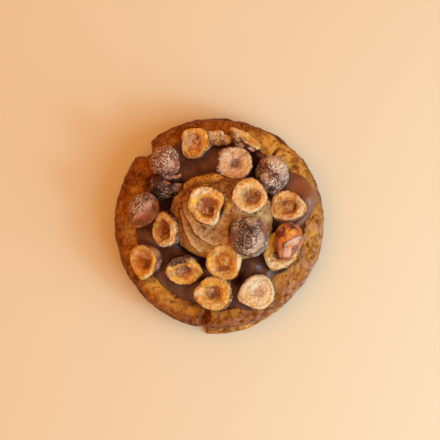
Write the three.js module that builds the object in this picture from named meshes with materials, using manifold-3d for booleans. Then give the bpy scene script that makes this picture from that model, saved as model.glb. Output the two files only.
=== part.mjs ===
// A thick round hazelnut chocolate cookie. The baked base has a rounded shoulder, a low foot on
// one side, a bite-shaped notch, and cracks that run in from its side. A shallow well in its top is
// filled with poured chocolate, which runs over the rim in one broad lobe. A folded scoop of
// hazelnut praline sits in the chocolate, and sugared roasted hazelnuts, most of them split in
// half with the hollow face up, lie on the chocolate and on the praline.
//
// Millimetres and degrees. +Z is up, the underside is at z = 0, and the origin is the middle of
// the underside. Angles run anticlockwise from +X, seen from above.
import * as THREE from "three";
import { mergeVertices } from "three/addons/utils/BufferGeometryUtils.js";
import Module from "manifold-3d";

const wasm = await Module();
wasm.setup();

// ---------------------------------------------------------------- driving dimensions

const THICKNESS = 18; // of the cookie, up to its rim
const SIDE_RADIUS = 44.6; // of the cookie at its widest, before its bulges and notches
const WIDEST_HEIGHT = 13.2; // where the side is widest, and the shoulder starts
const SHOULDER_REACH = 4.2; // how far the rounded shoulder goes in
const FOOT_HEIGHT = 2.4; // of the low flange round the underside
const FOOT_REACH = 2.6; // how far that flange stands out at most

const WELL_RADIUS = 35.6; // of the shallow well that holds the chocolate
const WELL_DEPTH = 3;

const POOL_RADIUS = 35.2; // of the chocolate, before its lobes
const POOL_EDGE = 0.5; // thickness of its edge
const POOL_ROUNDING = 3.4; // width over which the edge rises to the full level

const PRALINE = { x: 1, y: 3.9, z: 23, reach: [21.6, 18.3, 11.6], underside: 18.3 };
const FOLD_CENTRE = [-5.5, 3.2]; // the praline's folds wind round this place, from its middle

const MIDDLE = [-0.45, 0.11]; // of the cookie's outline, from the place that all angles turn round

const GAP = 0.3; // kept between pieces that touch
const SOCKET = 1.05; // size of the dent that a nut leaves, as a share of the nut

// ---------------------------------------------------------------- small helpers

const radians = THREE.MathUtils.degToRad;
const clamp = THREE.MathUtils.clamp;

// 1 at an angle, falling to 0 at `before` degrees below it and `after` degrees above it.
function near(angle, centre, before, after = before) {
  const turn = ((((angle - centre) % 360) + 540) % 360) - 180;
  const share = Math.abs(turn) / (turn < 0 ? before : after);
  return share < 1 ? (1 + Math.cos(Math.PI * share)) / 2 : 0;
}

// Repeatable unevenness from -1 to 1, in bumps about `size` across.
function uneven(x, y, z, size, phase = 0) {
  const k = Math.PI / size;
  return (
    (Math.sin(x * k + 1.7 * Math.sin(y * k * 0.7 + phase)) +
      Math.sin(y * k * 1.13 + 1.3 * Math.sin(z * k * 0.9 + phase * 2.1)) +
      Math.sin(z * k * 0.87 + 1.9 * Math.sin(x * k * 0.8 + phase * 1.3))) /
    3
  );
}

// A closed solid from rings of equal length, the lowest first, between two end points.
function ringSolid(bottom, rings, top) {
  const count = rings[0].length;
  const points = [bottom, ...rings.flat(), top];
  const index = [];
  const at = (ring, i) => 1 + ring * count + (i % count);
  for (let i = 0; i < count; i++) {
    index.push(0, at(0, i + 1), at(0, i));
    for (let ring = 0; ring + 1 < rings.length; ring++) {
      index.push(at(ring, i), at(ring, i + 1), at(ring + 1, i + 1));
      index.push(at(ring, i), at(ring + 1, i + 1), at(ring + 1, i));
    }
    index.push(points.length - 1, at(rings.length - 1, i), at(rings.length - 1, i + 1));
  }
  const geometry = new THREE.BufferGeometry().setFromPoints(points);
  geometry.setIndex(index);
  return geometry;
}

// To and from the library that cuts and joins.
function toSolid(geometry) {
  const bare = new THREE.BufferGeometry();
  bare.setAttribute("position", geometry.getAttribute("position"));
  bare.setIndex(geometry.index);
  const merged = mergeVertices(bare, 1e-3);
  return new wasm.Manifold(
    new wasm.Mesh({
      numProp: 3,
      vertProperties: new Float32Array(merged.attributes.position.array),
      triVerts: new Uint32Array(merged.index.array),
    }),
  );
}

function toGeometry(solid) {
  const { vertProperties, triVerts } = solid.getMesh();
  const geometry = new THREE.BufferGeometry();
  geometry.setAttribute("position", new THREE.BufferAttribute(vertProperties, 3));
  geometry.setIndex(new THREE.BufferAttribute(triVerts, 1));
  return geometry;
}

// The largest body of a cut solid: shavings that a cut leaves behind are dropped.
function mainBody(solid) {
  return solid.decompose().reduce((a, b) => (b.volume() > a.volume() ? b : a));
}

// ---------------------------------------------------------------- the baked cookie

// Cracks run in from the side along an angle, from one radius to another.
const CRACKS = [
  { angle: 133.5, from: 37, to: 48, halfWidth: 1.3, depth: 3 },
  { angle: 261, from: 34, to: 48, halfWidth: 2.6, depth: 4.6 },
  { angle: 53, from: 35, to: 42, halfWidth: 0.9, depth: 1.8 },
];

function sideRadius(angle) {
  const bulges =
    2.9 * near(angle, 124, 75, 60) +
    1.3 * near(angle, 48, 50) +
    0.8 * near(angle, 182, 50) -
    1.2 * near(angle, 308, 68, 50);
  const notch = 3.8 * near(angle, 133.8, 4.4, 7) ** 0.6 + 1.1 * near(angle, 259, 3, 2.6);
  return SIDE_RADIUS + bulges - notch + 0.15 * Math.sin(radians(angle * 9)) * Math.cos(radians(angle * 4));
}

// The foot starts with a step beside the crack and fades out to the right.
function footRadius(angle) {
  const step = clamp((angle - 260.8) / 1.2, 0, 1);
  return sideRadius(angle) - 0.5 + (FOOT_REACH + 0.5) * step * near(angle, 262, 2, 85);
}

function wellRadius(angle) {
  return WELL_RADIUS + 0.5 * Math.sin(radians(angle * 3 + 40)) - 1.6 * near(angle, 330, 40);
}

function crackDepth(angle, radius) {
  return CRACKS.reduce((depth, crack) => {
    const across = Math.abs(radians(angle - crack.angle)) * radius;
    const along = clamp((radius - crack.from) / 3, 0, 1) * clamp((crack.to - radius) / 2, 0, 1);
    return Math.max(depth, crack.depth * along * Math.max(0, 1 - across / crack.halfWidth));
  }, 0);
}

// The side and the top along one angle, from the underside's edge to the well's floor:
// pairs of radius and height.
function cookieProfile(angle) {
  const side = sideRadius(angle);
  const foot = footRadius(angle);
  const well = wellRadius(angle);
  const rise = THICKNESS - WIDEST_HEIGHT;
  const shoulder = [30, 60, 90].map((turn) => [
    side - SHOULDER_REACH * (1 - Math.cos(radians(turn))),
    WIDEST_HEIGHT + rise * Math.sin(radians(turn)),
  ]);
  const inner = side - SHOULDER_REACH;
  const profile = [
    [foot - 0.9, 0],
    [foot, 0.9],
    [foot - 0.15, FOOT_HEIGHT],
    [side - 0.9, FOOT_HEIGHT + 1.7],
    [side - 0.35, 8.6],
    [side, WIDEST_HEIGHT],
    ...shoulder,
    [(inner + well) / 2 + 0.4, THICKNESS],
    [well + 0.7, THICKNESS - 0.1],
    [well - 0.3, THICKNESS - 1.1],
    [well - 1.3, THICKNESS - WELL_DEPTH],
  ];
  return profile.map(([radius, height], i) => {
    const x = radius * Math.cos(radians(angle));
    const y = radius * Math.sin(radians(angle));
    if (i < 1 || i > 10) return [radius, height];
    const crag = i < 7 ? 0.28 * uneven(x, y, height, 5, 1) : 0;
    const relief = i > 5 ? 0.22 * uneven(x, y, 0, 6, 4) - crackDepth(angle, radius) : 0;
    return [radius + crag, height + relief];
  });
}

// Angles of the cookie's facets: even steps, and finer ones across the notches and cracks.
function cookieAngles() {
  const fine = [
    { from: 128, to: 143, step: 1.25 },
    { from: 255, to: 267, step: 1.2 },
    { from: 50, to: 56, step: 1 },
  ];
  const coarse = 4.5;
  const angles = [];
  for (let angle = 0; angle < 360; ) {
    angles.push(angle);
    const span = fine.find(({ from, to }) => angle >= from - 1e-6 && angle < to - 1e-6);
    const next = fine.find(({ from }) => from > angle + 1e-6 && from < angle + coarse);
    angle = span ? angle + span.step : next ? next.from : angle + coarse;
  }
  return angles;
}

function cookieSolid() {
  const angles = cookieAngles();
  const profiles = angles.map(cookieProfile);
  const rings = profiles[0].map((_, level) =>
    angles.map((angle, i) => {
      const [radius, height] = profiles[i][level];
      return new THREE.Vector3(radius * Math.cos(radians(angle)), radius * Math.sin(radians(angle)), height);
    }),
  );
  const floor = THICKNESS - WELL_DEPTH;
  return toSolid(ringSolid(new THREE.Vector3(0, 0, 0), rings, new THREE.Vector3(0, 0, floor)));
}

// Height of the cookie's top at a place.
function cookieTop(angle, radius) {
  const profile = cookieProfile(angle).slice(5);
  for (let i = 0; i + 1 < profile.length; i++) {
    const [outer, outerHeight] = profile[i];
    const [inner, innerHeight] = profile[i + 1];
    if (radius <= outer && radius >= inner) {
      const share = (outer - radius) / (outer - inner);
      return outerHeight + share * (innerHeight - outerHeight);
    }
  }
  return radius > profile[0][0] ? profile[0][1] : THICKNESS - WELL_DEPTH;
}

// ---------------------------------------------------------------- the poured chocolate

function poolRadius(angle) {
  return (
    POOL_RADIUS +
    8.3 * near(angle, 19, 21, 27) ** 0.7 + // the broad lobe that runs over the rim
    5 * near(angle, 114, 24) +
    3.4 * near(angle, 291, 14) +
    1.1 * near(angle, 190, 30) +
    1.6 * near(angle, 68, 14) -
    2 * near(angle, 335, 34)
  );
}

// Level of the chocolate inside its rounded edge.
function poolLevel(angle, radius) {
  const x = radius * Math.cos(radians(angle));
  const y = radius * Math.sin(radians(angle));
  const lobe = 1.7 * near(angle, 15, 30, 34) * clamp((radius - 22) / 10, 0, 1);
  const front = 0.9 * near(angle, 312, 30) - 0.5 * near(angle, 235, 50);
  return THICKNESS + 0.7 + lobe + front + 0.25 * uneven(x, y, 0, 9, 2);
}

function poolSolid() {
  const steps = 72;
  const shares = [1, 0.985, 0.955, 0.92, 0.84, 0.68, 0.4];
  const angles = Array.from({ length: steps }, (_, i) => (i * 360) / steps);
  const place = (angle, radius, height) =>
    new THREE.Vector3(radius * Math.cos(radians(angle)), radius * Math.sin(radians(angle)), height);
  const top = shares.map((share) =>
    angles.map((angle) => {
      const edge = poolRadius(angle);
      const radius = edge * share;
      const low = cookieTop(angle, edge) + GAP + POOL_EDGE;
      const rise = clamp((edge - radius) / POOL_ROUNDING, 0, 1);
      const round = Math.sqrt(1 - (1 - rise) ** 2);
      return place(angle, radius, low + (poolLevel(angle, radius) - low) * round);
    }),
  );
  const under = THICKNESS - WELL_DEPTH - 1;
  const skirt = angles.map((angle) => place(angle, poolRadius(angle), under));
  return toSolid(
    ringSolid(new THREE.Vector3(0, 0, under), [skirt, ...top], new THREE.Vector3(0, 0, poolLevel(0, 0))),
  );
}

// ---------------------------------------------------------------- the praline scoop

// Raised folds that wind round FOLD_CENTRE: each from one angle to another, at a distance.
const FOLDS = [
  { from: 60, to: 300, distance: 10.6, height: 1, width: 1.5 },
  { from: 75, to: 285, distance: 14.6, height: 1.2, width: 1.7 },
  { from: 30, to: 200, distance: 18.4, height: 0.9, width: 1.5 },
];

function foldHeight(x, y) {
  const dx = x - FOLD_CENTRE[0];
  const dy = y - FOLD_CENTRE[1];
  const angle = (THREE.MathUtils.radToDeg(Math.atan2(dy, dx)) + 360) % 360;
  const distance = Math.hypot(dx, dy);
  return FOLDS.reduce((sum, fold) => {
    const along = near(angle, (fold.from + fold.to) / 2, (fold.to - fold.from) / 2);
    const centre = fold.distance + 2.6 * Math.sin(radians(angle * 0.5 - 40));
    const across = (distance - centre) / fold.width;
    return sum + fold.height * Math.min(1, 1.6 * along) * Math.exp(-across * across);
  }, 0);
}

// A place on the praline, by its direction from the middle.
function pralinePoint(angle, elevation) {
  const [rx, ry, rz] = PRALINE.reach;
  const flat = Math.cos(radians(elevation));
  const x = rx * flat * Math.cos(radians(angle));
  const y = ry * flat * Math.sin(radians(angle));
  const z = rz * Math.sin(radians(elevation));
  const corner =
    1 +
    0.1 * near(angle, 312, 50) +
    0.03 * near(angle, 222, 20) -
    0.07 * near(angle, 188, 24) -
    0.07 * near(angle, 80, 35);
  const grown = corner + 0.025 * uneven(x, y, z, 8, 3);
  const fold = foldHeight(x, y) / Math.hypot(x, y, z);
  return new THREE.Vector3(x, y, z).multiplyScalar(grown + fold);
}

function pralineSolid() {
  const steps = 48;
  const elevations = [-24, -10, 4, 18, 31, 43, 54, 64, 73, 82];
  const angles = Array.from({ length: steps }, (_, i) => (i * 360) / steps);
  const low = PRALINE.underside - PRALINE.z;
  const rings = elevations.map((elevation) =>
    angles.map((angle) => {
      const point = pralinePoint(angle, elevation);
      point.z = Math.max(point.z, low);
      return point;
    }),
  );
  rings[0].forEach((point) => (point.z = low));
  const solid = ringSolid(new THREE.Vector3(0, 0, low), rings, pralinePoint(0, 90));
  return toSolid(solid.translate(PRALINE.x, PRALINE.y, PRALINE.z));
}

// ---------------------------------------------------------------- the hazelnuts

// A kernel lies along +X with its pointed end forwards. Its outline is a unit sphere that is
// drawn out to a point in front, flattened behind, and swollen at the angles in `bumps`, each an
// angle seen from above and a share of the radius.
const POINT = 0.2;
const BASE_FLATTENING = 0.07;
const BUMP_WIDTH = 38;

function kernelPoint(direction, nut) {
  const fromTip = Math.acos(clamp(direction.x, -1, 1));
  const round = Math.atan2(direction.z, direction.y);
  const level = Math.hypot(direction.x, direction.y);
  const seenAt = nut.tip + THREE.MathUtils.radToDeg(Math.atan2(direction.y, direction.x));
  const point = nut.point ?? POINT;
  const reach =
    1 +
    point * Math.exp(-((fromTip / 0.4) ** 2)) -
    BASE_FLATTENING * Math.exp(-(((Math.PI - fromTip) / 0.6) ** 2)) +
    (nut.bumps ?? []).reduce(
      (sum, [angle, share]) => sum + share * level * near(seenAt, angle, BUMP_WIDTH),
      0,
    ) +
    0.025 * Math.sin(2 * round + nut.seed) * Math.sin(fromTip) +
    0.02 * Math.sin(3 * fromTip + nut.seed * 1.7) +
    0.015 * Math.sin(5 * round + 4 * fromTip + nut.seed * 2.3);
  const length = 2 + point - BASE_FLATTENING;
  return new THREE.Vector3(
    ((direction.x * reach - (point + BASE_FLATTENING) / 2) * nut.length) / length,
    (direction.y * reach * nut.width) / 2,
    (direction.z * reach * (nut.height ?? nut.width)) / 2,
  );
}

function direction(round, elevation) {
  const flat = Math.cos(radians(elevation));
  return new THREE.Vector3(
    flat * Math.cos(radians(round)),
    flat * Math.sin(radians(round)),
    Math.sin(radians(elevation)),
  );
}

function evenly(count) {
  return Array.from({ length: count }, (_, i) => (i * 360) / count);
}

// A whole kernel.
function wholeKernel(nut) {
  const rings = [-64, -38, -12, 12, 38, 64].map((elevation) =>
    evenly(16).map((round) => kernelPoint(direction(round, elevation), nut)),
  );
  return ringSolid(kernelPoint(direction(0, -90), nut), rings, kernelPoint(direction(0, 90), nut));
}

// The round back of half a kernel, as rings from its lowest place up to its cut edge.
function halfBack(nut) {
  return [-68, -45, -22, -3].map((elevation) =>
    evenly(18).map((round) => kernelPoint(direction(round, elevation), nut)),
  );
}

// A ring inside the cut edge: a share of it, at a height.
function faceRing(nut, share, height, roughness = 0.12) {
  return evenly(18).map((round) => {
    const point = kernelPoint(direction(round, 0), nut).multiplyScalar(share);
    point.z = height + roughness * Math.sin(radians(round * 3) + nut.seed);
    return point;
  });
}

// Half a kernel, cut along its length, with the cut face up and a hollow in its middle.
function halfKernel(nut) {
  const face = [
    faceRing(nut, 0.92, 0.25),
    faceRing(nut, nut.hollow + 0.12, 0.1),
    faceRing(nut, nut.hollow * 0.62, -nut.depth * 0.75),
  ];
  const lowest = kernelPoint(direction(0, -90), nut);
  return ringSolid(lowest, [...halfBack(nut), ...face], new THREE.Vector3(0, 0, -nut.depth));
}

// The room over and under such a half: its back, and a slab over its cut face.
function halfRoom(nut) {
  const over = nut.clear ?? 0.7;
  const lowest = kernelPoint(direction(0, -90), nut);
  return ringSolid(lowest, [...halfBack(nut), faceRing(nut, 1, over, 0)], new THREE.Vector3(0, 0, over));
}

// Every nut: its middle, x, y and the height over the rim; its length and width; the angle that
// its pointed end looks along. A half leans: its cut face looks towards the angle `leanTo`,
// `lean` degrees off straight up, and past 90 it lies face down. `hollow` is the share of the
// face that the hollow takes, and `clear` the room kept free over the face. A whole nut's
// pointed end rises by `rise` degrees.
const HALVES = {
  half_back_left: {
    at: [-10.5, 34.2, 5.8], length: 13.6, width: 12.6, tip: 228, leanTo: 200, lean: 18,
    hollow: 0.5, depth: 1.6, bumps: [[140, 0.18], [56, 0.14]], seed: 1,
  },
  half_back: {
    at: [11.2, 37.1, 5.2], length: 15.6, width: 12.4, height: 8, tip: 144, leanTo: 53, lean: 75,
    hollow: 0.4, depth: 1.4, seed: 2,
  },
  half_back_sugared: {
    at: [6.4, 25.8, 9.4], length: 15, width: 13.6, tip: 200, leanTo: 90, lean: 6,
    hollow: 0.34, depth: 0.9, clear: 3, seed: 3,
  },
  half_left: {
    at: [-23.3, -2, 7.9], length: 15.2, width: 14.2, tip: 102, leanTo: 188, lean: 37,
    hollow: 0.5, depth: 2.4, seed: 4,
  },
  half_front_left: {
    at: [-32.4, -16, 7.5], length: 15, width: 14.8, height: 17.4, tip: 258, leanTo: 192, lean: 36,
    hollow: 0.52, depth: 2.3, seed: 5,
  },
  half_front_mid_left: {
    at: [-14.7, -19.7, 6.3], length: 16, width: 14.2, tip: 355, leanTo: 266, lean: 33,
    hollow: 0.46, depth: 2, seed: 6,
  },
  half_front_mid: {
    at: [2.4, -16.3, 12], length: 16, width: 15.2, tip: 303, leanTo: 218, lean: 14,
    hollow: 0.52, depth: 1.7, clear: 3, seed: 7,
  },
  half_front: {
    at: [-3.1, -29.2, 6.2], length: 16.2, width: 14.4, tip: 184, leanTo: 172, lean: 8,
    hollow: 0.46, depth: 2.1, seed: 8,
  },
  half_front_pale: {
    at: [15.5, -28.9, 6.4], length: 16.4, width: 14.6, tip: 195, leanTo: 80, lean: 4,
    hollow: 0.4, depth: 0.9, seed: 9,
  },
  half_right_lower: {
    at: [25.6, -11.5, 6.6], length: 18, width: 15.6, tip: 247, leanTo: 210, lean: 10,
    hollow: 0.4, depth: 1, seed: 10,
  },
  half_right_upper: {
    at: [29.1, -7.6, 8.4], length: 16.4, width: 12.8, tip: 258, leanTo: 30, lean: 170,
    hollow: 0.3, depth: 0.3, seed: 11,
  },
  half_right: {
    at: [29.4, 7.7, 7.7], length: 15.6, width: 13.8, tip: 350, leanTo: 100, lean: 12,
    hollow: 0.48, depth: 2.2, seed: 12,
  },
  half_praline_right: {
    at: [13, 12.2, 15.6], length: 16.2, width: 14.4, tip: 82, leanTo: 40, lean: 12,
    hollow: 0.46, depth: 2, clear: 6, seed: 13,
  },
  half_praline_top: {
    at: [-4.9, 7.9, 18.4], length: 15.6, width: 15.8, tip: 20, leanTo: 140, lean: 8,
    hollow: 0.56, depth: 2.6, clear: 6, seed: 14,
  },
};
const WHOLES = {
  whole_back_right: { at: [22.6, 20.9, 6.5], length: 16.2, width: 13.4, tip: 276, rise: 0, seed: 21 },
  whole_back_left: { at: [-22.7, 27.4, 10], length: 13.4, width: 12.4, tip: 70, rise: 50, seed: 22 },
  whole_left_dark: { at: [-22.4, 16.5, 4.7], length: 14.6, width: 10.6, tip: 6, rise: 0, seed: 23 },
  whole_left: { at: [-32.5, 5.8, 6.3], length: 16, width: 12.4, tip: 240, rise: -8, seed: 24 },
  whole_praline_front: { at: [12.3, -5.4, 17.6], length: 17.2, width: 16.4, tip: 140, rise: 25, seed: 25 },
};

// Clumps of sugar that cling to a nut's side: angle from its middle, distance, height and radius.
const SUGAR_ON_NUTS = {
  half_back_sugared: [
    { angle: 146, distance: 6.9, height: -0.8, radius: 1.4 },
    { angle: 196, distance: 7.2, height: -1.2, radius: 1.6 },
    { angle: 210, distance: 6.9, height: -1.6, radius: 1.5 },
  ],
};
// A clump of sugar lying beside the nut at the back left.
const SUGAR_CLUMP = { at: [0, 37, 3.6], length: 8.6, width: 5.6, tip: 352, rise: 0, seed: 31 };

function pose(nut, half) {
  const about = (x, y, z, angle) =>
    new THREE.Quaternion().setFromAxisAngle(new THREE.Vector3(x, y, z), radians(angle));
  const inPlane = nut.lean > 90 ? 180 + nut.leanTo - nut.tip : nut.tip - nut.leanTo;
  const turn = half
    ? about(0, 0, 1, nut.leanTo).multiply(about(0, 1, 0, nut.lean)).multiply(about(0, 0, 1, inPlane))
    : about(0, 0, 1, nut.tip).multiply(about(0, 1, 0, -nut.rise));
  const place = new THREE.Vector3(nut.at[0], nut.at[1], THICKNESS + nut.at[2]);
  return new THREE.Matrix4().compose(place, turn, new THREE.Vector3(1, 1, 1));
}

function sugarLump(nut, { angle, distance, height, radius }, grown = 0) {
  const lump = new THREE.IcosahedronGeometry(radius + grown, 1);
  lump.deleteAttribute("normal");
  lump.deleteAttribute("uv");
  lump.setIndex([...Array(lump.getAttribute("position").count).keys()]);
  lump.translate(
    nut.at[0] + distance * Math.cos(radians(angle)),
    nut.at[1] + distance * Math.sin(radians(angle)),
    THICKNESS + nut.at[2] + height,
  );
  return toSolid(lump);
}

const sugarLumps = (name) => SUGAR_ON_NUTS[name] ?? [];

function nutSolid(name, nut, half) {
  const kernel = half ? halfKernel(nut) : wholeKernel(nut);
  const solid = toSolid(kernel.applyMatrix4(pose(nut, half)));
  return sugarLumps(name).reduce((sum, lump) => sum.add(sugarLump(nut, lump)), solid);
}

// The room that a nut needs in what carries it: the nut and its sugar, a little larger.
function socketSolid(name, nut, half) {
  const sizes = [nut.length, nut.width, nut.height ?? nut.width];
  const [length, width, height] = sizes.map((size) => size * SOCKET);
  const larger = { ...nut, length, width, height };
  const room = toSolid((half ? halfRoom(larger) : wholeKernel(larger)).applyMatrix4(pose(nut, half)));
  return sugarLumps(name).reduce((sum, lump) => sum.add(sugarLump(nut, lump, GAP)), room);
}

// ---------------------------------------------------------------- assembly

const dough = new THREE.MeshStandardMaterial({ color: 0xa5662b, roughness: 0.62, metalness: 0 });
const chocolate = new THREE.MeshStandardMaterial({ color: 0x5c3220, roughness: 0.32, metalness: 0 });
const praline = new THREE.MeshStandardMaterial({ color: 0xb57a3f, roughness: 0.7, metalness: 0 });
const nutFlesh = new THREE.MeshStandardMaterial({ color: 0xdba45f, roughness: 0.6, metalness: 0 });
const nutSkin = new THREE.MeshStandardMaterial({ color: 0x7a4a33, roughness: 0.55, metalness: 0 });
const sugar = new THREE.MeshStandardMaterial({ color: 0xd0a47a, roughness: 0.5, metalness: 0 });

const cookie = new THREE.Group();

function addPiece(name, solid, material) {
  const geometry = toGeometry(mainBody(solid).translate([-MIDDLE[0], -MIDDLE[1], 0]));
  geometry.computeVertexNormals();
  const mesh = new THREE.Mesh(geometry, material);
  mesh.name = name;
  cookie.add(mesh);
}

const nuts = [
  ...Object.entries(HALVES).map(([name, nut]) => ({ name, nut, half: true })),
  ...Object.entries(WHOLES).map(([name, nut]) => ({ name, nut, half: false })),
  { name: "sugar_clump", nut: SUGAR_CLUMP, half: false },
];
const sockets = nuts.map(({ name, nut, half }) => socketSolid(name, nut, half));
const cutBy = (solid, tools) => tools.reduce((left, tool) => left.subtract(tool), solid);

const base = cookieSolid();
const scoop = pralineSolid();
const raised = base.translate([0, 0, GAP]);
const baseRoom = raised.add(raised.scale([0.992, 0.992, 1]));
const scoopRoom = scoop
  .translate([-PRALINE.x, -PRALINE.y, -PRALINE.z])
  .scale([1.018, 1.018, 1.07])
  .translate([PRALINE.x, PRALINE.y, PRALINE.z]);

addPiece("cookie_base", cutBy(base, sockets), dough);
addPiece(
  "chocolate_pool",
  cutBy(poolSolid(), [baseRoom, scoopRoom, ...sockets]),
  chocolate,
);
addPiece("praline_scoop", cutBy(scoop, sockets), praline);

nuts.forEach(({ name, nut, half }) => {
  const material = name === "sugar_clump" ? sugar : half ? nutFlesh : nutSkin;
  const prefix = name === "sugar_clump" ? "" : "hazelnut_";
  addPiece(prefix + name, nutSolid(name, nut, half), material);
});

export default cookie;
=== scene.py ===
"""A hazelnut chocolate cookie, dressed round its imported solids.

Lengths are millimetres and angles are degrees, anticlockwise from +X seen from above, until
a mesh is written: a mesh is in metres. A solid is a grid of rings, the lowest ring first.
"""

import math

import bpy
import numpy as np
from bpy.props import FloatProperty, FloatVectorProperty, IntProperty, PointerProperty
from mathutils import Matrix, Vector


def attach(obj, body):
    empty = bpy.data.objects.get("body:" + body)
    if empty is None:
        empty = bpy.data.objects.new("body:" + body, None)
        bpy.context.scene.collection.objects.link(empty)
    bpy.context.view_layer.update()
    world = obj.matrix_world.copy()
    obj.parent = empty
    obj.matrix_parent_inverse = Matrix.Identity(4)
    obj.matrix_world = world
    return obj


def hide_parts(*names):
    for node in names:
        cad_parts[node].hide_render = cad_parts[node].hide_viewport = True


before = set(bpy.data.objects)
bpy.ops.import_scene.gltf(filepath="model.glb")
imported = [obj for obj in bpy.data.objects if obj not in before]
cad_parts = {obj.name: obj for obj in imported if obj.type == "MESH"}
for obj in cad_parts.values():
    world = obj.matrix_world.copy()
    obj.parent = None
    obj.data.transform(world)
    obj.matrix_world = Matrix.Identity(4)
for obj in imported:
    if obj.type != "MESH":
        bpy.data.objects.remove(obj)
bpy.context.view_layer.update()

bl_info = {
    "name": "Hazelnut chocolate cookie",
    "version": (1, 0, 0),
    "blender": (4, 5, 0),
    "location": "View3D > Sidebar > Cookie",
    "description": "A baked cookie with chocolate, a praline scoop and sugared hazelnuts",
    "category": "Add Mesh",
}

# ---------------------------------------------------------------- sizes shared with the solids

THICKNESS = 18.0  # of the cookie, up to its rim
SIDE_RADIUS = 44.6
WIDEST_HEIGHT = 13.2
SHOULDER_REACH = 4.2
FOOT_HEIGHT = 2.4
FOOT_REACH = 2.6
FOOT_EDGE = 0.9  # rounding of the underside's edge
WELL_RADIUS = 35.6
WELL_DEPTH = 3.0
WELL_FLOOR = THICKNESS - WELL_DEPTH
POOL_RADIUS = 35.2
POOL_ROUNDING = 3.4
MIDDLE = (-0.45, 0.11)  # of the cookie's outline, from the place that angles turn round

PRALINE_AT = np.array([1.0, 3.9, 23.0])
PRALINE_REACH = np.array([21.6, 18.3, 11.6])
PRALINE_UNDERSIDE = 18.3

POINT = 0.2  # how far a kernel's tip is drawn out, as a share of its radius
BASE_FLATTENING = 0.07  # how much shorter the blunt end is, in the same way
BUMP_WIDTH = 38.0  # how many degrees a bump reaches to each side

# Cracks that run in from the side: angle, inner and outer radius, half width and depth.
CRACKS = [
    (133.5, 37, 48, 1.3, 3.0),
    (261, 34, 48, 2.6, 4.6),
    (53, 35, 42, 0.9, 1.8),
]

# ---------------------------------------------------------------- sizes of the visible model

CURVE_STEPS = 6  # pieces of a smooth line between two of its places
FADED_END = 0.15  # the share of a line over which each of its ends fades
BELLY_HEIGHT = 8.6  # where the side grows a little steeper
CRACK_FOOT = 6  # height at which the cracks in the side begin
SHOULDER_RINGS, RIM_RINGS = 22, 38
NUT_STEPS = 132  # points round a nut's ring
WHOLE_RINGS, BACK_RINGS, FACE_RINGS = 76, 34, 42  # of a whole nut, a half's back and its cut face
POLE = 86  # elevation of the ring next to a nut's pole
GRAIN_STRETCH = (0.6, 1.2)  # least and greatest width of a grain, as a share of its size

SHEEN = (1.0, 0.62, 0.58, 1.0)  # a warm tint for every highlight
KEY_AT = (-25, 36.5, 0.64)  # angle, elevation and distance in metres of the key light
ABOVE_AT = (155, 82, 1.1)
AIM = (0.107, 2.357, THICKNESS)  # the place at the middle of the picture
PIXEL = 0.4286  # millimetres of the cookie's rim plane for one picture element
PICTURE = 440  # picture elements across
SENSOR = 36  # width of the camera's sensor
FLOOR_REACH = 2  # metres from the middle of the floor to its sides

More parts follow.
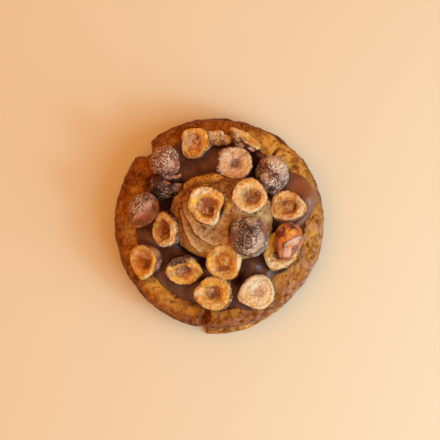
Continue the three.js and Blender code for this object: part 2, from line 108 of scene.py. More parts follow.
# Every nut. `at` is its middle, x, y and the height over the rim; `tip` is the angle its pointed
# end looks along, which rises by `rise`; `height` is its third size where that isn't its width.
# A half leans: its cut face looks towards `lean_to`, `lean` degrees off straight up. `hollow` is
# the share of the face that its hollow takes, `depth` how deep it is and `centre` its place on
# the face; it can be `steep`, and have a `bump` in the middle. `bumps` swell the outline round an
# angle, or dent it below 0, and `point` is how far the tip is drawn out.
# `rim`, `slope`, `core` and `skin` are colours of the palette. `shade` darkens the skin in
# places, and `flecks`, `rough`, `glaze` and `wet` are how strong the flesh's flecks are, how
# rough the nut is, and how much its skin and its hollow shine. Sugar lies round an angle and an
# elevation, over a spread, with a thickness; `coat` is how much it colours the skin, `frost` how
# closely its white grains lie, and `dust` how much of it is on the flesh.
# A touch is a colour, its place from the nut's middle, its half length and half width, the angle
# of its length, and how strong it is. A form is a place, sizes and angle, and how far it stands up.
# Some touches paint light or shade, where a nut's notes say so.
HALVES = {
    "half_back_left": dict(
        at=(-10.5, 34.2, 5.8), length=13.6, width=12.6, tip=228, lean_to=200, lean=18, hollow=0.5,
        depth=2.0, bumps=[(140, 0.2), (56, 0.17), (-44, -0.2)], seed=1, centre=(-0.6, 1.2), rim="gold",
        slope="orange", core="pink", sugar=[(320, -10, 60, 1.0), (10, 0, 40, 0.8)], dust=0.2,
        touches=[("gold", 3.4, 2.8, 3.4, 1.5, 100, 1.0), ("orange", 1.9, -2.3, 3.0, 1.2, 60, 0.9),
                 ("cream", -5.2, -0.6, 4.6, 0.7, 90, 0.8), ("orange", -1.2, -5.4, 3.6, 0.9, 0, 0.9),
                 ("tan", -2.6, 2.2, 3.0, 2.0, 90, 0.8), ("crystal_and_glint", 0.2, 2.4, 1.4, 1.0, 30, 0.6),
                 ("burnt", 0.9, 3.0, 1.7, 0.6, 50, 0.9), ("burnt", -0.8, 1.2, 1.5, 0.5, -50, 0.8),
                 ("ember", 1.4, 0.2, 1.4, 0.7, 60, 0.6), ("burnt", -2.4, -1.6, 1.2, 0.4, 70, 0.5)]),
    "half_back": dict(
        at=(11.2, 37.1, 5.2), length=15.6, width=12.4, height=10.0, tip=144, lean_to=53, lean=69,
        hollow=0.4, depth=1.4, seed=2, rim="straw", slope="ginger", core="amber", skin="plum",
        frost=0.5, sugar=[(190, 30, 60, 0.8)],
        touches=[("ginger", 1.2, -0.6, 5.0, 0.8, -38, 0.5), ("sun", 1.4, 0.9, 5.0, 0.9, -38, 0.7),
                 ("peach", -4.4, 3.0, 2.8, 1.4, -40, 0.9), ("straw", 4.8, -3.7, 1.6, 0.7, -20, 0.7),
                 ("burnt", 0.5, -1.0, 1.4, 0.6, -40, 0.7), ("dark", -1.5, -1.6, 3.4, 0.5, -45, 0.8),
                 ("darkred", 0.6, -3.9, 3.2, 0.8, -32, 0.9), ("dark", 4.4, -6.8, 1.8, 1.4, 0, 1.0),
                 ("red", 2.2, -5.4, 1.8, 0.6, -25, 0.8), ("crystal_and_glint", -3.9, 0.0, 2.2, 0.9, -60, 0.9),
                 ("salmon", -1.4, -3.2, 1.6, 0.4, -30, 0.7), ("salmon", 2.2, -4.8, 1.5, 0.35, -22, 0.7),
                 ("dark", 0.6, -4.6, 1.6, 0.25, -30, 0.7)],
        forms=[(-0.4, -3.4, 3.0, 0.5, -35, 0.8), (2.2, -5.0, 2.0, 0.5, -25, 0.8),
               (0.6, -4.5, 2.4, 0.3, -30, -0.5)]),
    "half_back_sugared": dict(
        at=(6.4, 25.8, 9.4), length=15.0, width=13.6, tip=200, lean_to=90, lean=6, hollow=0.34,
        depth=1.1, point=0.1, seed=3, centre=(0.4, 0.1), rim="pink", slope="pink", core="rosewood",
        dust=0.2, coat=0.35, rough=0.6, flecks=0.5,
        sugar=[(190, 0, 75, 1.2), (300, -10, 70, 1.0), (60, -10, 60, 0.9)],
        touches=[("yellow", 5.2, -2.2, 2.6, 1.5, 80, 0.6), ("yellow", -2.6, -5.3, 3.0, 1.2, -20, 0.7),
                 ("rosewood", 0.5, 0.0, 2.6, 2.2, 0, 0.6), ("burnt", 0.5, -0.1, 1.5, 1.1, 20, 0.9),
                 ("rosewood", 2.6, 2.4, 1.8, 0.5, 45, 0.5), ("rosewood", -0.4, 3.2, 2.2, 0.3, 100, 0.5),
                 ("rosewood", -3.2, 0.4, 2.0, 0.3, 10, 0.4), ("cream", -3.6, 2.8, 2.4, 1.6, 30, 0.5),
                 ("rosewood", -1.6, -2.2, 1.8, 0.4, 55, 0.5), ("crystal_and_glint", -3.2, 1.4, 2.2, 1.8, 0, 0.5)]),
    "half_left": dict(
        at=(-23.3, -2.0, 7.9), length=15.2, width=14.2, tip=102, lean_to=188, lean=37, hollow=0.5,
        depth=2.6, seed=4, centre=(-0.8, -0.4), steep=1, rim="yellow", slope="amber", core="ember",
        wet=0.5, skin="plum", sugar=[(10, 10, 78, 1.0)],
        # The palest cream touches on the right rim paint light onto a rim that lies in shade.
        touches=[("orange", -2.4, 2.0, 4.5, 1.2, 75, 0.6), ("ember", -0.8, 0.0, 2.9, 1.5, 90, 1.0),
                 ("orange", -0.6, -3.7, 1.4, 1.0, 90, 1.0), ("painted_light_cream", 3.3, -2.6, 4.6, 1.7, 78, 1.0),
                 ("painted_light_cream", 1.0, -6.1, 2.6, 1.1, 20, 0.9), ("red", -1.2, 3.2, 1.6, 0.9, 60, 0.6)]),
    "half_front_left": dict(
        at=(-32.4, -16.0, 7.5), length=15.0, width=14.8, height=17.4, tip=258, lean_to=192, lean=36,
        hollow=0.6, depth=2.8, seed=5, centre=(0.1, 0.3), rim="yellow", slope="orange", core="amber",
        wet=0.4, skin="rosewood", shade=0.85, sugar=[(265, -10, 40, 0.6)],
        # The sun gold at the bottom is painted light, for a wall that would face the key light.
        touches=[("pink", 0.0, 3.0, 3.2, 1.6, -15, 0.9), ("crystal_and_glint", -1.4, 3.4, 1.4, 0.7, -15, 0.5),
                 ("ember", 0.7, -1.5, 2.1, 1.8, 90, 0.9), ("gold", 0.2, -4.6, 3.2, 1.4, 5, 1.0),
                 ("sun", 0.3, -6.2, 3.0, 1.1, 5, 0.9), ("sun", 4.1, -1.2, 3.4, 1.1, 72, 1.0),
                 ("salmon", 6.6, -1.8, 1.4, 0.6, 80, 0.4), ("cream", 2.6, -5.8, 2.2, 1.0, 35, 0.9),
                 ("orange", -3.9, 1.0, 3.6, 0.8, 100, 0.7), ("tan", 5.0, 4.4, 2.6, 1.6, -30, 0.9),
                 ("burnt", -1.2, 0.6, 1.2, 0.6, 40, 0.5)]),
    "half_front_mid_left": dict(
        at=(-14.7, -19.7, 6.3), length=16.0, width=14.2, tip=355, lean_to=266, lean=33, hollow=0.44,
        depth=2.1, seed=6, centre=(-1.0, -0.6), rim="gold", slope="orange", core="rosewood",
        skin="dark", coat=0.3, dust=0.15, sugar=[(190, 0, 40, 0.4), (45, 20, 40, 0.5)],
        touches=[("orange", 5.2, -0.4, 3.2, 2.0, 100, 0.7), ("gold", 3.9, 3.2, 3.0, 1.4, -35, 0.7),
                 ("gold", -2.8, -4.5, 4.0, 1.2, -14, 1.0), ("tan", -6.2, -1.4, 2.0, 1.0, 80, 0.8),
                 ("darkred", -2.6, 4.2, 5.2, 2.3, 12, 1.0), ("dark", -3.0, 4.7, 4.2, 1.5, 12, 0.9),
                 ("burnt", -1.0, 5.8, 2.4, 0.5, 16, 0.6), ("gold", -2.6, 1.9, 3.2, 0.9, 18, 0.9),
                 ("burnt", 1.4, 0.4, 1.8, 1.2, -20, 0.9), ("crystal_and_glint", -1.9, -1.0, 1.5, 0.8, 0, 0.5),
                 ("amber", -1.6, -2.4, 2.6, 0.5, -8, 0.8), ("orange", 3.8, -4.0, 2.6, 1.0, 20, 0.9),
                 ("yellow", 6.6, 1.0, 2.4, 0.5, 110, 0.8)]),
    "half_front_mid": dict(
        at=(2.4, -16.3, 12.0), length=16.0, width=15.2, tip=303, lean_to=218, lean=14, hollow=0.6,
        depth=1.9, bump=0.85, seed=7, centre=(-0.8, 0.6), rim="yellow", slope="yellow", core="orange",
        sugar=[(40, 10, 48, 1.1), (230, -10, 50, 0.6)],
        # The palest cream on the right rim is a painted highlight.
        touches=[("gold", -6.2, 0.2, 4.4, 1.2, 84, 0.9), ("orange", -4.6, 4.6, 2.0, 1.2, 45, 0.8),
                 ("burnt", -5.4, 3.4, 1.4, 0.3, 50, 0.6), ("amber", -4.6, 0.6, 1.4, 0.25, 20, 0.6),
                 ("straw", -0.8, 5.8, 3.4, 1.0, 0, 0.9), ("cream", 6.0, 0.6, 4.0, 1.1, 84, 1.0),
                 ("painted_light_cream", 5.7, 1.6, 2.4, 0.5, 80, 0.8), ("amber", -0.3, 3.2, 2.4, 0.4, 0, 0.7),
                 ("amber", -3.6, 0.8, 0.5, 2.0, 0, 0.8), ("amber", 2.8, 0.6, 0.5, 2.0, 0, 0.6),
                 ("ember", -0.8, -2.8, 2.8, 1.2, 5, 0.8), ("burnt", 0.2, -4.6, 2.0, 0.4, 10, 0.5),
                 ("tan", -0.6, 0.9, 1.3, 1.1, 0, 0.8), ("burnt", -1.2, 1.2, 0.35, 0.35, 0, 0.9),
                 ("burnt", 0.0, 0.8, 0.3, 0.3, 0, 0.9), ("orange", 2.6, -5.6, 2.2, 0.9, 30, 0.7),
                 ("pink", -4.6, -2.6, 1.8, 0.8, 115, 0.4)]),
    "half_front": dict(
        at=(-3.1, -29.2, 6.2), length=16.2, width=14.4, tip=184, lean_to=172, lean=8, hollow=0.44,
        depth=2.3, seed=8, centre=(0.4, 0.5), rim="yellow", slope="gold", core="rosewood",
        sugar=[(350, -5, 60, 1.2), (120, -10, 60, 0.6), (250, -10, 60, 0.7)],
        touches=[("gold", 4.6, 0.4, 4.2, 1.6, 95, 1.0), ("sun", 3.4, 3.8, 2.4, 1.0, -40, 0.8),
                 ("gold", -1.0, 5.0, 4.4, 1.3, 8, 0.9), ("straw", -0.4, -5.8, 3.8, 1.1, -8, 0.9),
                 ("cream", -5.8, 0.0, 1.9, 1.4, 0, 0.8), ("amber", 0.2, 0.4, 3.5, 3.1, 0, 0.7),
                 ("rosewood", 0.2, 0.4, 2.4, 2.2, 0, 0.9), ("burnt", 0.9, -1.0, 1.8, 1.1, 20, 0.7),
                 ("pink", -0.9, 1.2, 1.3, 1.1, 0, 0.6), ("crystal_and_glint", -0.2, 1.6, 0.8, 0.6, 0, 0.4)]),
    "half_front_pale": dict(
        at=(15.5, -28.9, 6.4), length=16.4, width=14.6, tip=195, lean_to=80, lean=4, hollow=0.36,
        depth=0.9, seed=9, centre=(1.0, 0.4), rim="cream", slope="cream", core="tan", dust=0.5,
        flecks=0.2, rough=0.7, sugar=[(80, -10, 50, 0.8), (0, -10, 60, 0.7)],
        touches=[("blush", 0.6, 1.4, 5.0, 4.4, 0, 0.6), ("painted_light_cream", 0.0, 4.2, 3.8, 1.6, 20, 0.6),
                 ("yellow", -3.5, -2.4, 2.6, 1.3, 70, 0.9), ("orange", -5.8, -2.8, 0.9, 0.8, 0, 1.0),
                 ("tan", 1.4, 0.2, 2.0, 1.6, 0, 0.7), ("rosewood", 4.0, 5.2, 0.9, 0.5, 0, 0.6),
                 ("rosewood", 1.8, 0.8, 0.6, 0.4, 0, 0.5)]),
    "half_right_lower": dict(
        at=(25.6, -11.5, 6.6), length=18.0, width=15.6, tip=247, lean_to=210, lean=10, hollow=0.5,
        depth=1.6, seed=10, centre=(1.0, 1.8), steep=1, rim="straw", slope="amber", core="dark",
        rough=0.6, coat=0.3, sugar=[(250, -10, 50, 0.7), (340, -5, 30, 0.8)],
        # The sun gold and the palest cream on the left rim are painted light on a rim in the upper half's
        # shadow.
        touches=[("plum", -0.4, 1.8, 3.4, 1.0, 66, 0.7), ("plum", -1.8, -1.2, 2.4, 1.1, -35, 0.7),
                 ("red", -1.4, -2.2, 1.4, 0.6, -30, 0.6), ("mauve", -1.4, -2.8, 1.8, 0.7, -30, 0.7),
                 ("sun", -3.3, 3.2, 5.2, 2.0, 72, 1.0), ("amber", -4.1, -1.0, 1.4, 0.35, 60, 0.7),
                 ("straw", -5.9, -2.0, 2.8, 0.9, 98, 0.9), ("painted_light_cream", -4.2, -4.9, 2.6, 1.2, -48, 0.9),
                 ("cream", -0.6, -5.7, 3.6, 1.3, -4, 1.0), ("cream", 3.2, -4.5, 3.0, 1.3, 32, 1.0),
                 ("straw", 5.9, -1.6, 2.4, 0.8, 60, 0.7), ("amber", -1.4, -4.0, 2.8, 0.4, -14, 0.7),
                 ("crystal_and_glint", -2.0, -3.1, 1.0, 0.4, -30, 0.7)]),
    "half_right_upper": dict(
        at=(29.1, -7.6, 8.4), length=16.4, width=12.8, tip=258, lean_to=30, lean=170, hollow=0.3,
        depth=0.3, seed=11, bumps=[(212, -0.11), (304, -0.11)], rim="cream", slope="tan", core="amber",
        skin="copper", glaze=0.8, sugar=[(240, 20, 24, 0.4)],
        # On the glazed skin the orchid band and the rose, blush and palest cream streaks are painted
        # highlights.
        touches=[("ember", -3.1, 3.6, 2.6, 1.7, 60, 0.95), ("darkred", 2.5, 5.8, 3.0, 0.9, -40, 0.9),
                 ("flame", 3.6, 3.8, 1.8, 1.1, -45, 0.9), ("ginger", 0.6, 2.4, 2.6, 1.3, 50, 0.9),
                 ("gold", -0.3, 3.9, 0.8, 1.7, 0, 0.8), ("gold", 2.0, 3.8, 1.4, 0.9, -20, 0.7),
                 ("cream", -0.4, 4.2, 0.3, 0.7, 0, 0.6), ("ginger", -2.6, 0.4, 1.6, 1.3, 60, 1.0),
                 ("ember", -4.4, 1.4, 0.7, 2.0, 0, 0.6), ("orchid", 1.4, 0.2, 4.0, 1.1, 24, 0.9),
                 ("painted_light_cream", 2.2, 0.6, 3.0, 0.2, 26, 0.45), ("rose", 3.3, 0.7, 1.9, 0.7, 30, 0.7),
                 ("salmon", 2.9, -0.8, 2.0, 1.1, 30, 0.9), ("plum", -1.6, -0.9, 1.4, 0.4, 30, 0.6),
                 ("rosewood", 2.8, -3.6, 2.8, 1.0, 52, 0.6), ("salmon", 0.2, -4.4, 2.4, 1.2, 72, 0.9),
                 ("painted_light_cream", 0.7, -4.2, 1.6, 0.22, 74, 0.45), ("ginger", 0.5, -1.9, 1.0, 0.6, 0, 1.0),
                 ("flame", -3.9, -4.1, 3.6, 0.6, 88, 1.0), ("salmon", -1.5, -4.5, 2.2, 0.8, 84, 0.9),
                 ("blush", -2.8, -4.2, 2.8, 0.35, 86, 0.9), ("plum", -2.1, -2.0, 0.4, 1.2, 0, 0.6),
                 ("red", -1.4, -7.0, 2.4, 0.7, 0, 0.8), ("rosewood", -5.2, -3.4, 0.9, 3.2, 0, 0.8),
                 ("gold", -3.4, 6.2, 2.6, 0.5, 42, 0.8), ("rose", -3.0, 5.1, 0.9, 0.5, 30, 0.6)],
        forms=[(-3.7, -4.0, 3.6, 0.5, 88, 0.5), (-1.6, -4.4, 2.6, 0.7, 84, 0.4),
               (1.7, 0.5, 4.2, 0.6, 24, 0.6), (0.8, 3.2, 2.8, 0.9, 50, 0.4),
               (-2.7, -4.2, 2.8, 0.25, 86, -0.3), (2.4, -2.4, 3.0, 0.4, 40, -0.4)]),
    "half_right": dict(
        at=(29.4, 7.7, 7.7), length=15.6, width=13.8, tip=350, lean_to=100, lean=12, hollow=0.5,
        depth=2.3, seed=12, centre=(0.4, 0.4), rim="peach", slope="orange", core="amber", rough=1.5,
        dust=0.1, sugar=[(350, 0, 50, 1.0), (270, -10, 60, 1.0)],
        touches=[("orange", -4.8, 0.2, 3.4, 2.2, 80, 0.9), ("ember", -3.2, 1.8, 1.8, 0.8, 60, 0.6),
                 ("orange", -1.2, -4.2, 3.4, 1.4, -10, 0.8), ("pink", -2.0, -4.8, 3.0, 0.8, -12, 0.7),
                 ("cream", 5.2, 0.0, 4.2, 1.6, 82, 0.9), ("tan", 1.3, 0.2, 2.4, 1.6, 70, 0.7),
                 ("burnt", 2.5, -0.6, 2.6, 0.6, 82, 0.9), ("straw", -1.0, 5.1, 4.6, 0.9, 10, 0.8),
                 ("ginger", -2.4, 3.4, 2.4, 0.8, 20, 0.6), ("burnt", -1.4, 2.0, 1.4, 0.6, 60, 0.8),
                 ("burnt", 0.2, -2.2, 1.4, 0.5, 20, 0.7), ("crystal_and_glint", 0.8, -0.6, 1.0, 0.8, 0, 0.5),
                 ("red", -2.6, -6.0, 3.0, 0.6, -10, 0.6)]),
    "half_praline_right": dict(
        at=(13.0, 12.2, 15.6), length=16.2, width=14.4, tip=82, lean_to=40, lean=12, hollow=0.56,
        depth=2.3, point=0.08, seed=13, centre=(0.9, -0.9), rim="peach", slope="straw", core="amber",
        rough=1.3, dust=0.15, sugar=[(230, -5, 70, 1.0), (0, -10, 60, 0.9), (120, -15, 60, 0.6)],
        touches=[("rosewood", -2.0, 1.2, 2.0, 1.5, 20, 0.4), ("ember", 3.2, -1.0, 2.6, 1.5, 80, 0.9),
                 ("burnt", 0.6, -1.6, 1.6, 1.1, 50, 0.9), ("gold", -1.0, 5.4, 4.2, 1.1, 0, 0.7),
                 ("ginger", -3.6, -2.6, 1.7, 1.2, 0, 0.4), ("burnt", 0.8, 1.2, 2.0, 0.35, 100, 0.7),
                 ("burnt", -1.2, -0.2, 1.8, 0.35, 10, 0.6), ("cream", 1.6, -6.2, 3.4, 1.4, 10, 0.9)]),
    "half_praline_top": dict(
        at=(-4.9, 7.9, 18.4), length=15.6, width=15.8, tip=20, lean_to=140, lean=8, hollow=0.54,
        depth=2.8, bumps=[(-62, 0.17), (222, -0.12), (-18, -0.1), (22, 0.06)], seed=14,
        centre=(0.1, -0.9), steep=1, rim="peach", slope="gold", core="amber", rough=1.5, dust=0.1,
        sugar=[],
        # The palest cream touches are painted highlights on the rim and glints in the hollow.
        touches=[("sun", -5.8, 1.4, 4.2, 1.5, 76, 1.0), ("painted_light_cream", -4.6, 4.4, 2.6, 1.0, 45, 0.9),
                 ("gold", 4.0, 4.4, 2.8, 1.0, -40, 0.7), ("orange", 1.6, -5.4, 3.4, 0.9, -8, 0.9),
                 ("painted_light_cream", -0.6, 5.7, 4.4, 1.2, 0, 0.7), ("rosewood", -0.4, -0.8, 4.0, 3.0, 0, 0.8),
                 ("crystal_and_glint", -2.4, -0.2, 1.8, 1.0, 80, 0.35), ("burnt", 1.7, -1.8, 1.7, 0.8, 85, 0.9),
                 ("pink", -2.8, -0.8, 1.8, 0.9, 80, 0.8), ("ember", -0.6, 2.2, 2.6, 0.5, 0, 0.7),
                 ("painted_light_cream", -0.2, -2.6, 1.4, 0.45, 85, 0.8), ("painted_light_cream", 3.3, -1.1, 1.3, 0.35, 95, 0.8),
                 ("painted_light_cream", -1.5, -3.0, 0.7, 0.3, 60, 0.6), ("crystal_and_glint", -3.0, 1.2, 0.4, 0.8, 0, 0.7),
                 ("burnt", 0.6, -4.2, 2.2, 0.5, 0, 0.7), ("painted_light_cream", 4.0, -6.4, 3.4, 1.2, 65, 0.8),
                 ("gold", 6.0, 1.4, 1.6, 0.8, 60, 0.9), ("sun", -3.2, -5.0, 2.6, 0.7, -50, 0.8)]),
}
WHOLES = {
    "whole_back_right": dict(
        at=(22.6, 20.9, 6.5), length=16.2, width=13.4, tip=276, rise=0, seed=21, skin="darkred",
        frost=0.7, coat=0.7,
        sugar=[(80, 50, 80, 0.95), (330, 35, 75, 1.0), (270, 25, 55, 1.0), (180, 30, 40, 0.5)],
        touches=[("orange", -3.2, 5.8, 2.4, 1.2, 20, 0.5), ("darkred", -3.8, 2.8, 2.8, 2.1, 110, 0.9),
                 ("crystal_and_glint", 2.3, 3.8, 4.4, 3.0, -35, 1.0), ("crystal_and_glint", 4.2, 0.4, 3.0, 1.5, 90, 0.7),
                 ("rose", 3.2, 0.9, 1.2, 0.8, 0, 0.5), ("darkred", 1.1, -0.3, 1.4, 0.6, 20, 0.9),
                 ("crystal_and_glint", -3.2, -0.9, 1.9, 1.6, 60, 0.9),
                 ("crystal_and_glint", -1.2, -3.2, 2.4, 1.3, -30, 0.8), ("straw", 1.4, 5.2, 3.4, 1.6, -24, 0.6),
                 ("straw", -3.2, -0.8, 1.4, 1.2, 60, 0.4), ("dark", -0.4, -6.0, 1.8, 1.0, 10, 0.8)]),
    "whole_back_left": dict(
        at=(-22.6, 27.0, 10.0), length=13.9, width=12.8, tip=70, rise=50, seed=22, skin="red",
        frost=0.65, coat=0.5, sugar=[(180, 50, 90, 0.95), (90, 30, 80, 0.95), (300, 30, 60, 0.95)],
        # The two crystal touches below the middle are painted glints.
        touches=[("darkred", -1.0, -5.8, 5.0, 1.0, 4, 0.9), ("mauve", -3.0, 2.0, 3.0, 2.4, 60, 0.5),
                 ("crystal_and_glint", 0.8, -3.0, 1.5, 1.3, 0, 0.5), ("salmon", 3.0, -1.7, 1.5, 1.0, 95, 0.8),
                 ("crystal_and_glint", 1.8, -2.0, 1.3, 0.4, 90, 0.9), ("rosewood", 3.2, -4.2, 0.9, 0.6, 0, 0.8)]),
    "whole_left_dark": dict(
        at=(-22.4, 16.5, 4.7), length=14.6, width=10.6, tip=6, rise=0, seed=23, skin="murk", frost=0.3,
        coat=0.4, sugar=[(0, 90, 90, 0.15), (320, 35, 50, 0.65), (250, 10, 50, 0.4), (180, 20, 40, 0.3)],
        touches=[("rosewood", -1.4, 5.0, 2.8, 0.8, 0, 0.8), ("mauve", -1.8, 1.0, 3.4, 2.3, 0, 0.75),
                 ("red", -6.4, 3.0, 1.6, 1.4, 60, 0.6), ("salmon", 2.8, 3.2, 4.8, 0.5, -2, 0.9),
                 ("darkred", -3.0, 3.4, 3.4, 1.0, 5, 0.8), ("straw", 3.0, 3.8, 1.0, 0.3, -10, 0.8),
                 ("dark", 3.6, 1.7, 4.2, 0.5, 0, 0.9), ("copper", 0.3, 1.0, 1.5, 0.4, -20, 0.7),
                 ("crystal_and_glint", 5.0, 0.6, 1.3, 0.8, 0, 0.8), ("crystal_and_glint", 4.6, -1.6, 1.8, 1.0, 0, 0.6),
                 ("dark", -4.4, -2.4, 2.2, 1.4, 0, 0.8), ("tan", -5.9, 0.2, 0.4, 0.9, 0, 0.5)],
        forms=[(2.8, 3.2, 5.2, 0.45, -2, 1.3), (-3.0, 3.4, 3.4, 0.7, 5, 0.8),
               (3.6, 1.8, 4.4, 0.6, -3, -0.8), (0.3, 1.1, 1.9, 0.6, -20, 0.7),
               (-6.2, 2.8, 1.8, 1.2, 60, 0.6), (-2.8, 1.0, 2.2, 2.2, 0, 0.4),
               (5.6, 2.8, 1.8, 0.8, -10, 1.4)]),
    "whole_left": dict(
        at=(-32.5, 5.8, 6.3), length=16.0, width=12.4, tip=240, rise=-8, seed=24, skin="sienna",
        frost=0.6, coat=0.7, sugar=[(110, 40, 78, 1.0), (160, 20, 44, 0.9)],
        # The salmon and blush strips are painted highlights on the bare skin.
        touches=[("plum", -1.0, 4.6, 4.6, 2.6, 20, 0.8), ("russet", 3.6, -1.4, 4.6, 1.2, 52, 0.6),
                 ("salmon", 2.2, 1.8, 2.8, 0.9, 35, 0.5), ("blush", 3.0, 3.2, 1.0, 0.4, 35, 0.4),
                 ("salmon", -2.0, -2.6, 3.0, 1.0, 42, 0.35), ("blush", -3.0, -2.8, 1.2, 0.3, 42, 0.4),
                 ("darkred", 5.0, 1.6, 1.8, 0.8, -70, 0.6)]),
    "whole_praline_front": dict(
        at=(12.3, -5.4, 17.6), length=17.2, width=16.4, tip=140, rise=25, seed=25, skin="mauve",
        frost=0.55, coat=0.4,
        sugar=[(0, 65, 85, 0.8), (320, 30, 60, 1.2), (70, 40, 40, 0.8), (190, 20, 70, 0.55)],
        # The crystal touches on the lower right are sugar with a painted glint.
        touches=[("murk", -1.6, 1.0, 5.0, 3.6, 60, 0.7), ("rosewood", -5.6, -0.4, 3.6, 1.6, 80, 0.6),
                 ("crystal_and_glint", 1.6, 5.6, 2.3, 1.8, 0, 0.8), ("crystal_and_glint", 5.2, -1.4, 3.0, 1.3, 70, 0.9),
                 ("crystal_and_glint", 4.2, -4.4, 3.0, 1.3, 50, 0.9), ("crystal_and_glint", 0.8, -6.6, 2.8, 1.0, 10, 0.7),
                 ("red", 6.9, 2.1, 1.9, 1.0, 105, 1.0), ("crystal_and_glint", -3.4, 6.2, 1.4, 0.4, 40, 0.8),
                 ("darkred", -1.6, 3.6, 2.4, 0.5, 35, 0.6)],
        forms=[(-3.6, 6.2, 2.0, 0.5, 60, 0.8), (-1.2, 6.6, 1.8, 0.5, 150, 0.7),
               (-2.2, 5.0, 1.4, 0.6, 20, -0.6)]),
}
SUGAR_CLUMP = dict(
    at=(0.0, 37.0, 3.6), length=8.6, width=5.8, tip=352, rise=0, seed=31, skin="clump", frost=0.3,
    rough=3.4, coat=0.1, shade=0.7, sugar=[(120, 40, 120, 0.7)],
    # The amber and ember touches low down are painted shade; the palest cream ones on top are painted
    # highlights.
    touches=[("amber", 1.6, -2.0, 2.6, 1.3, -12, 0.9), ("pink", -2.0, 0.8, 1.8, 1.2, 0, 0.5),
             ("gold", 3.2, 0.2, 1.4, 0.8, -40, 0.6), ("painted_light_cream", 2.0, 1.6, 2.0, 0.6, -15, 0.7),
             ("painted_light_cream", -2.0, 1.9, 2.0, 0.6, -10, 0.6), ("burnt", -1.4, -0.6, 0.6, 0.5, 0, 0.9),
             ("burnt", 0.8, -0.9, 1.5, 0.4, -25, 0.8), ("ember", -3.2, -1.8, 1.6, 0.6, 20, 0.8),
             ("burnt", 0.4, 1.0, 0.3, 0.9, 0, 0.7)])
LUMPS = {  # sugar lumps fused to a nut: angle, distance, height over its middle, radius
    "half_back_left": [(-22, 6.5, -1.6, 1.7), (-44, 6.4, -2.0, 1.6), (2, 6.5, -1.2, 1.7),
                       (22, 6.2, -1.0, 1.4)],
    "half_back_sugared": [(138, 6.1, -0.8, 2.5), (124, 6.2, -0.6, 1.8), (202, 6.6, -1.0, 2.7),
                          (188, 7.0, -1.4, 1.9), (214, 6.2, -1.6, 2.2), (108, 6.0, -0.4, 1.6),
                          (162, 6.4, -0.8, 1.6), (20, 6.6, -0.8, 1.5)],
    "clump": [(168, 3.8, 0.4, 2.9), (200, 4.2, -0.2, 2.6), (80, 1.4, 1.0, 2.4), (-12, 3.2, 0.2, 2.6),
              (28, 3.4, 0.6, 2.0)],
}
# Of these colours, the palest cream is a painted highlight, and also lightens rims that lie in shade; sun
# is a bright gold of the rims, and also lightens gold rims in shade as painted light; the crystal white is
# sugar, and in places a painted glint.
PALETTE = {
    "cream": "fad6a0", "straw": "f6bb66", "peach": "fec27c", "yellow": "eaac4c", "gold": "f6ab2c",
    "orange": "d48222", "tan": "c8905c", "amber": "b0641a", "ember": "843608", "burnt": "6c3614",
    "pink": "eab08a", "rosewood": "8c5544", "crystal_and_glint": "f0bea0", "plum": "472725", "murk": "382625",
    "dark": "2c130d", "darkred": "5a1c14", "red": "9c4428", "salmon": "f4ac8c", "rose": "dcaaa4",
    "russet": "8c3c18", "ginger": "f08c30", "clump": "e8ac68", "copper": "d67e50", "flame": "e0681e",
    "painted_light_cream": "ffe9c2", "sun": "ffc650", "orchid": "dcac9c", "blush": "f0ccb4", "mauve": "64403a",
    "sienna": "b86436",
}
# Colours of skin and of torn flesh, which show no sugar.
BARE = ("darkred", "dark", "red", "salmon", "rose", "russet", "ginger", "blush", "murk")

# ---------------------------------------------------------------- numbers


def near(angle, centre, before, after=None):
    """1 at an angle, falling to 0 at `before` degrees below it and `after` above it."""
    turn = (np.asarray(angle, float) - centre + 180) % 360 - 180
    share = np.abs(turn) / np.where(turn < 0, before, before if after is None else after)
    return np.where(share < 1, (1 + np.cos(np.pi * share)) / 2, 0.0)


def summed(angle, bumps, total=0):
    """Bumps added to a total: each is its height, its angle and its reach below and above that."""
    for height, *place in bumps:
        total = total + height * near(angle, *place)
    return total


def step(value):
    """A smooth step from 0 at 0 to 1 at 1."""
    value = np.clip(value, 0, 1)
    return value * value * (3 - 2 * value)


def bell(offset, width):
    """1 where an offset is 0, falling to almost 0 at two widths from there."""
    return np.exp(-((offset / width) ** 2))


def mound(x, y, middle, spread):
    """1 at a place, falling off round it; `spread` is the square of its width along x and y."""
    return np.exp(-((x - middle[0]) ** 2 / spread[0] + (y - middle[1]) ** 2 / spread[1]))


def spot(angle, radius):
    """x and y of a place given by its angle and radius."""
    return radius * np.cos(np.radians(angle)), radius * np.sin(np.radians(angle))


def uneven(x, y, z, size, phase=0.0):
    """Low unevenness from -1 to 1: the same sum of waves as in the solids."""
    k = np.pi / size
    return (
        np.sin(x * k + 1.7 * np.sin(y * k * 0.7 + phase))
        + np.sin(y * k * 1.13 + 1.3 * np.sin(z * k * 0.9 + phase * 2.1))
        + np.sin(z * k * 0.87 + 1.9 * np.sin(x * k * 0.8 + phase * 1.3))
    ) / 3


def lattice(ix, iy, iz, seed):
    """A repeatable number from -1 to 1 at each place of a lattice."""
    mixed = (ix * 374761393 + iy * 668265263 + iz * 1440662683 + seed * 1013904223) & 0xFFFFFFFF
    mixed = ((mixed ^ (mixed >> 13)) * 1274126177) & 0xFFFFFFFF
    return ((mixed ^ (mixed >> 16)) & 0xFFFF) / 32767.5 - 1


def lumps(points, size, seed=0):
    """Smooth noise from -1 to 1 at each point, in lumps of a size."""
    place = points / size + 50.3
    base = np.floor(place).astype(np.int64)
    part = step(place - base)
    total = np.zeros(points.shape[:-1])
    for corner in range(8):
        offset = np.array([corner & 1, corner >> 1 & 1, corner >> 2])
        weight = np.prod(np.where(offset, part, 1 - part), axis=-1)
        cell = base + offset
        total += weight * lattice(cell[..., 0], cell[..., 1], cell[..., 2], seed)
    return total


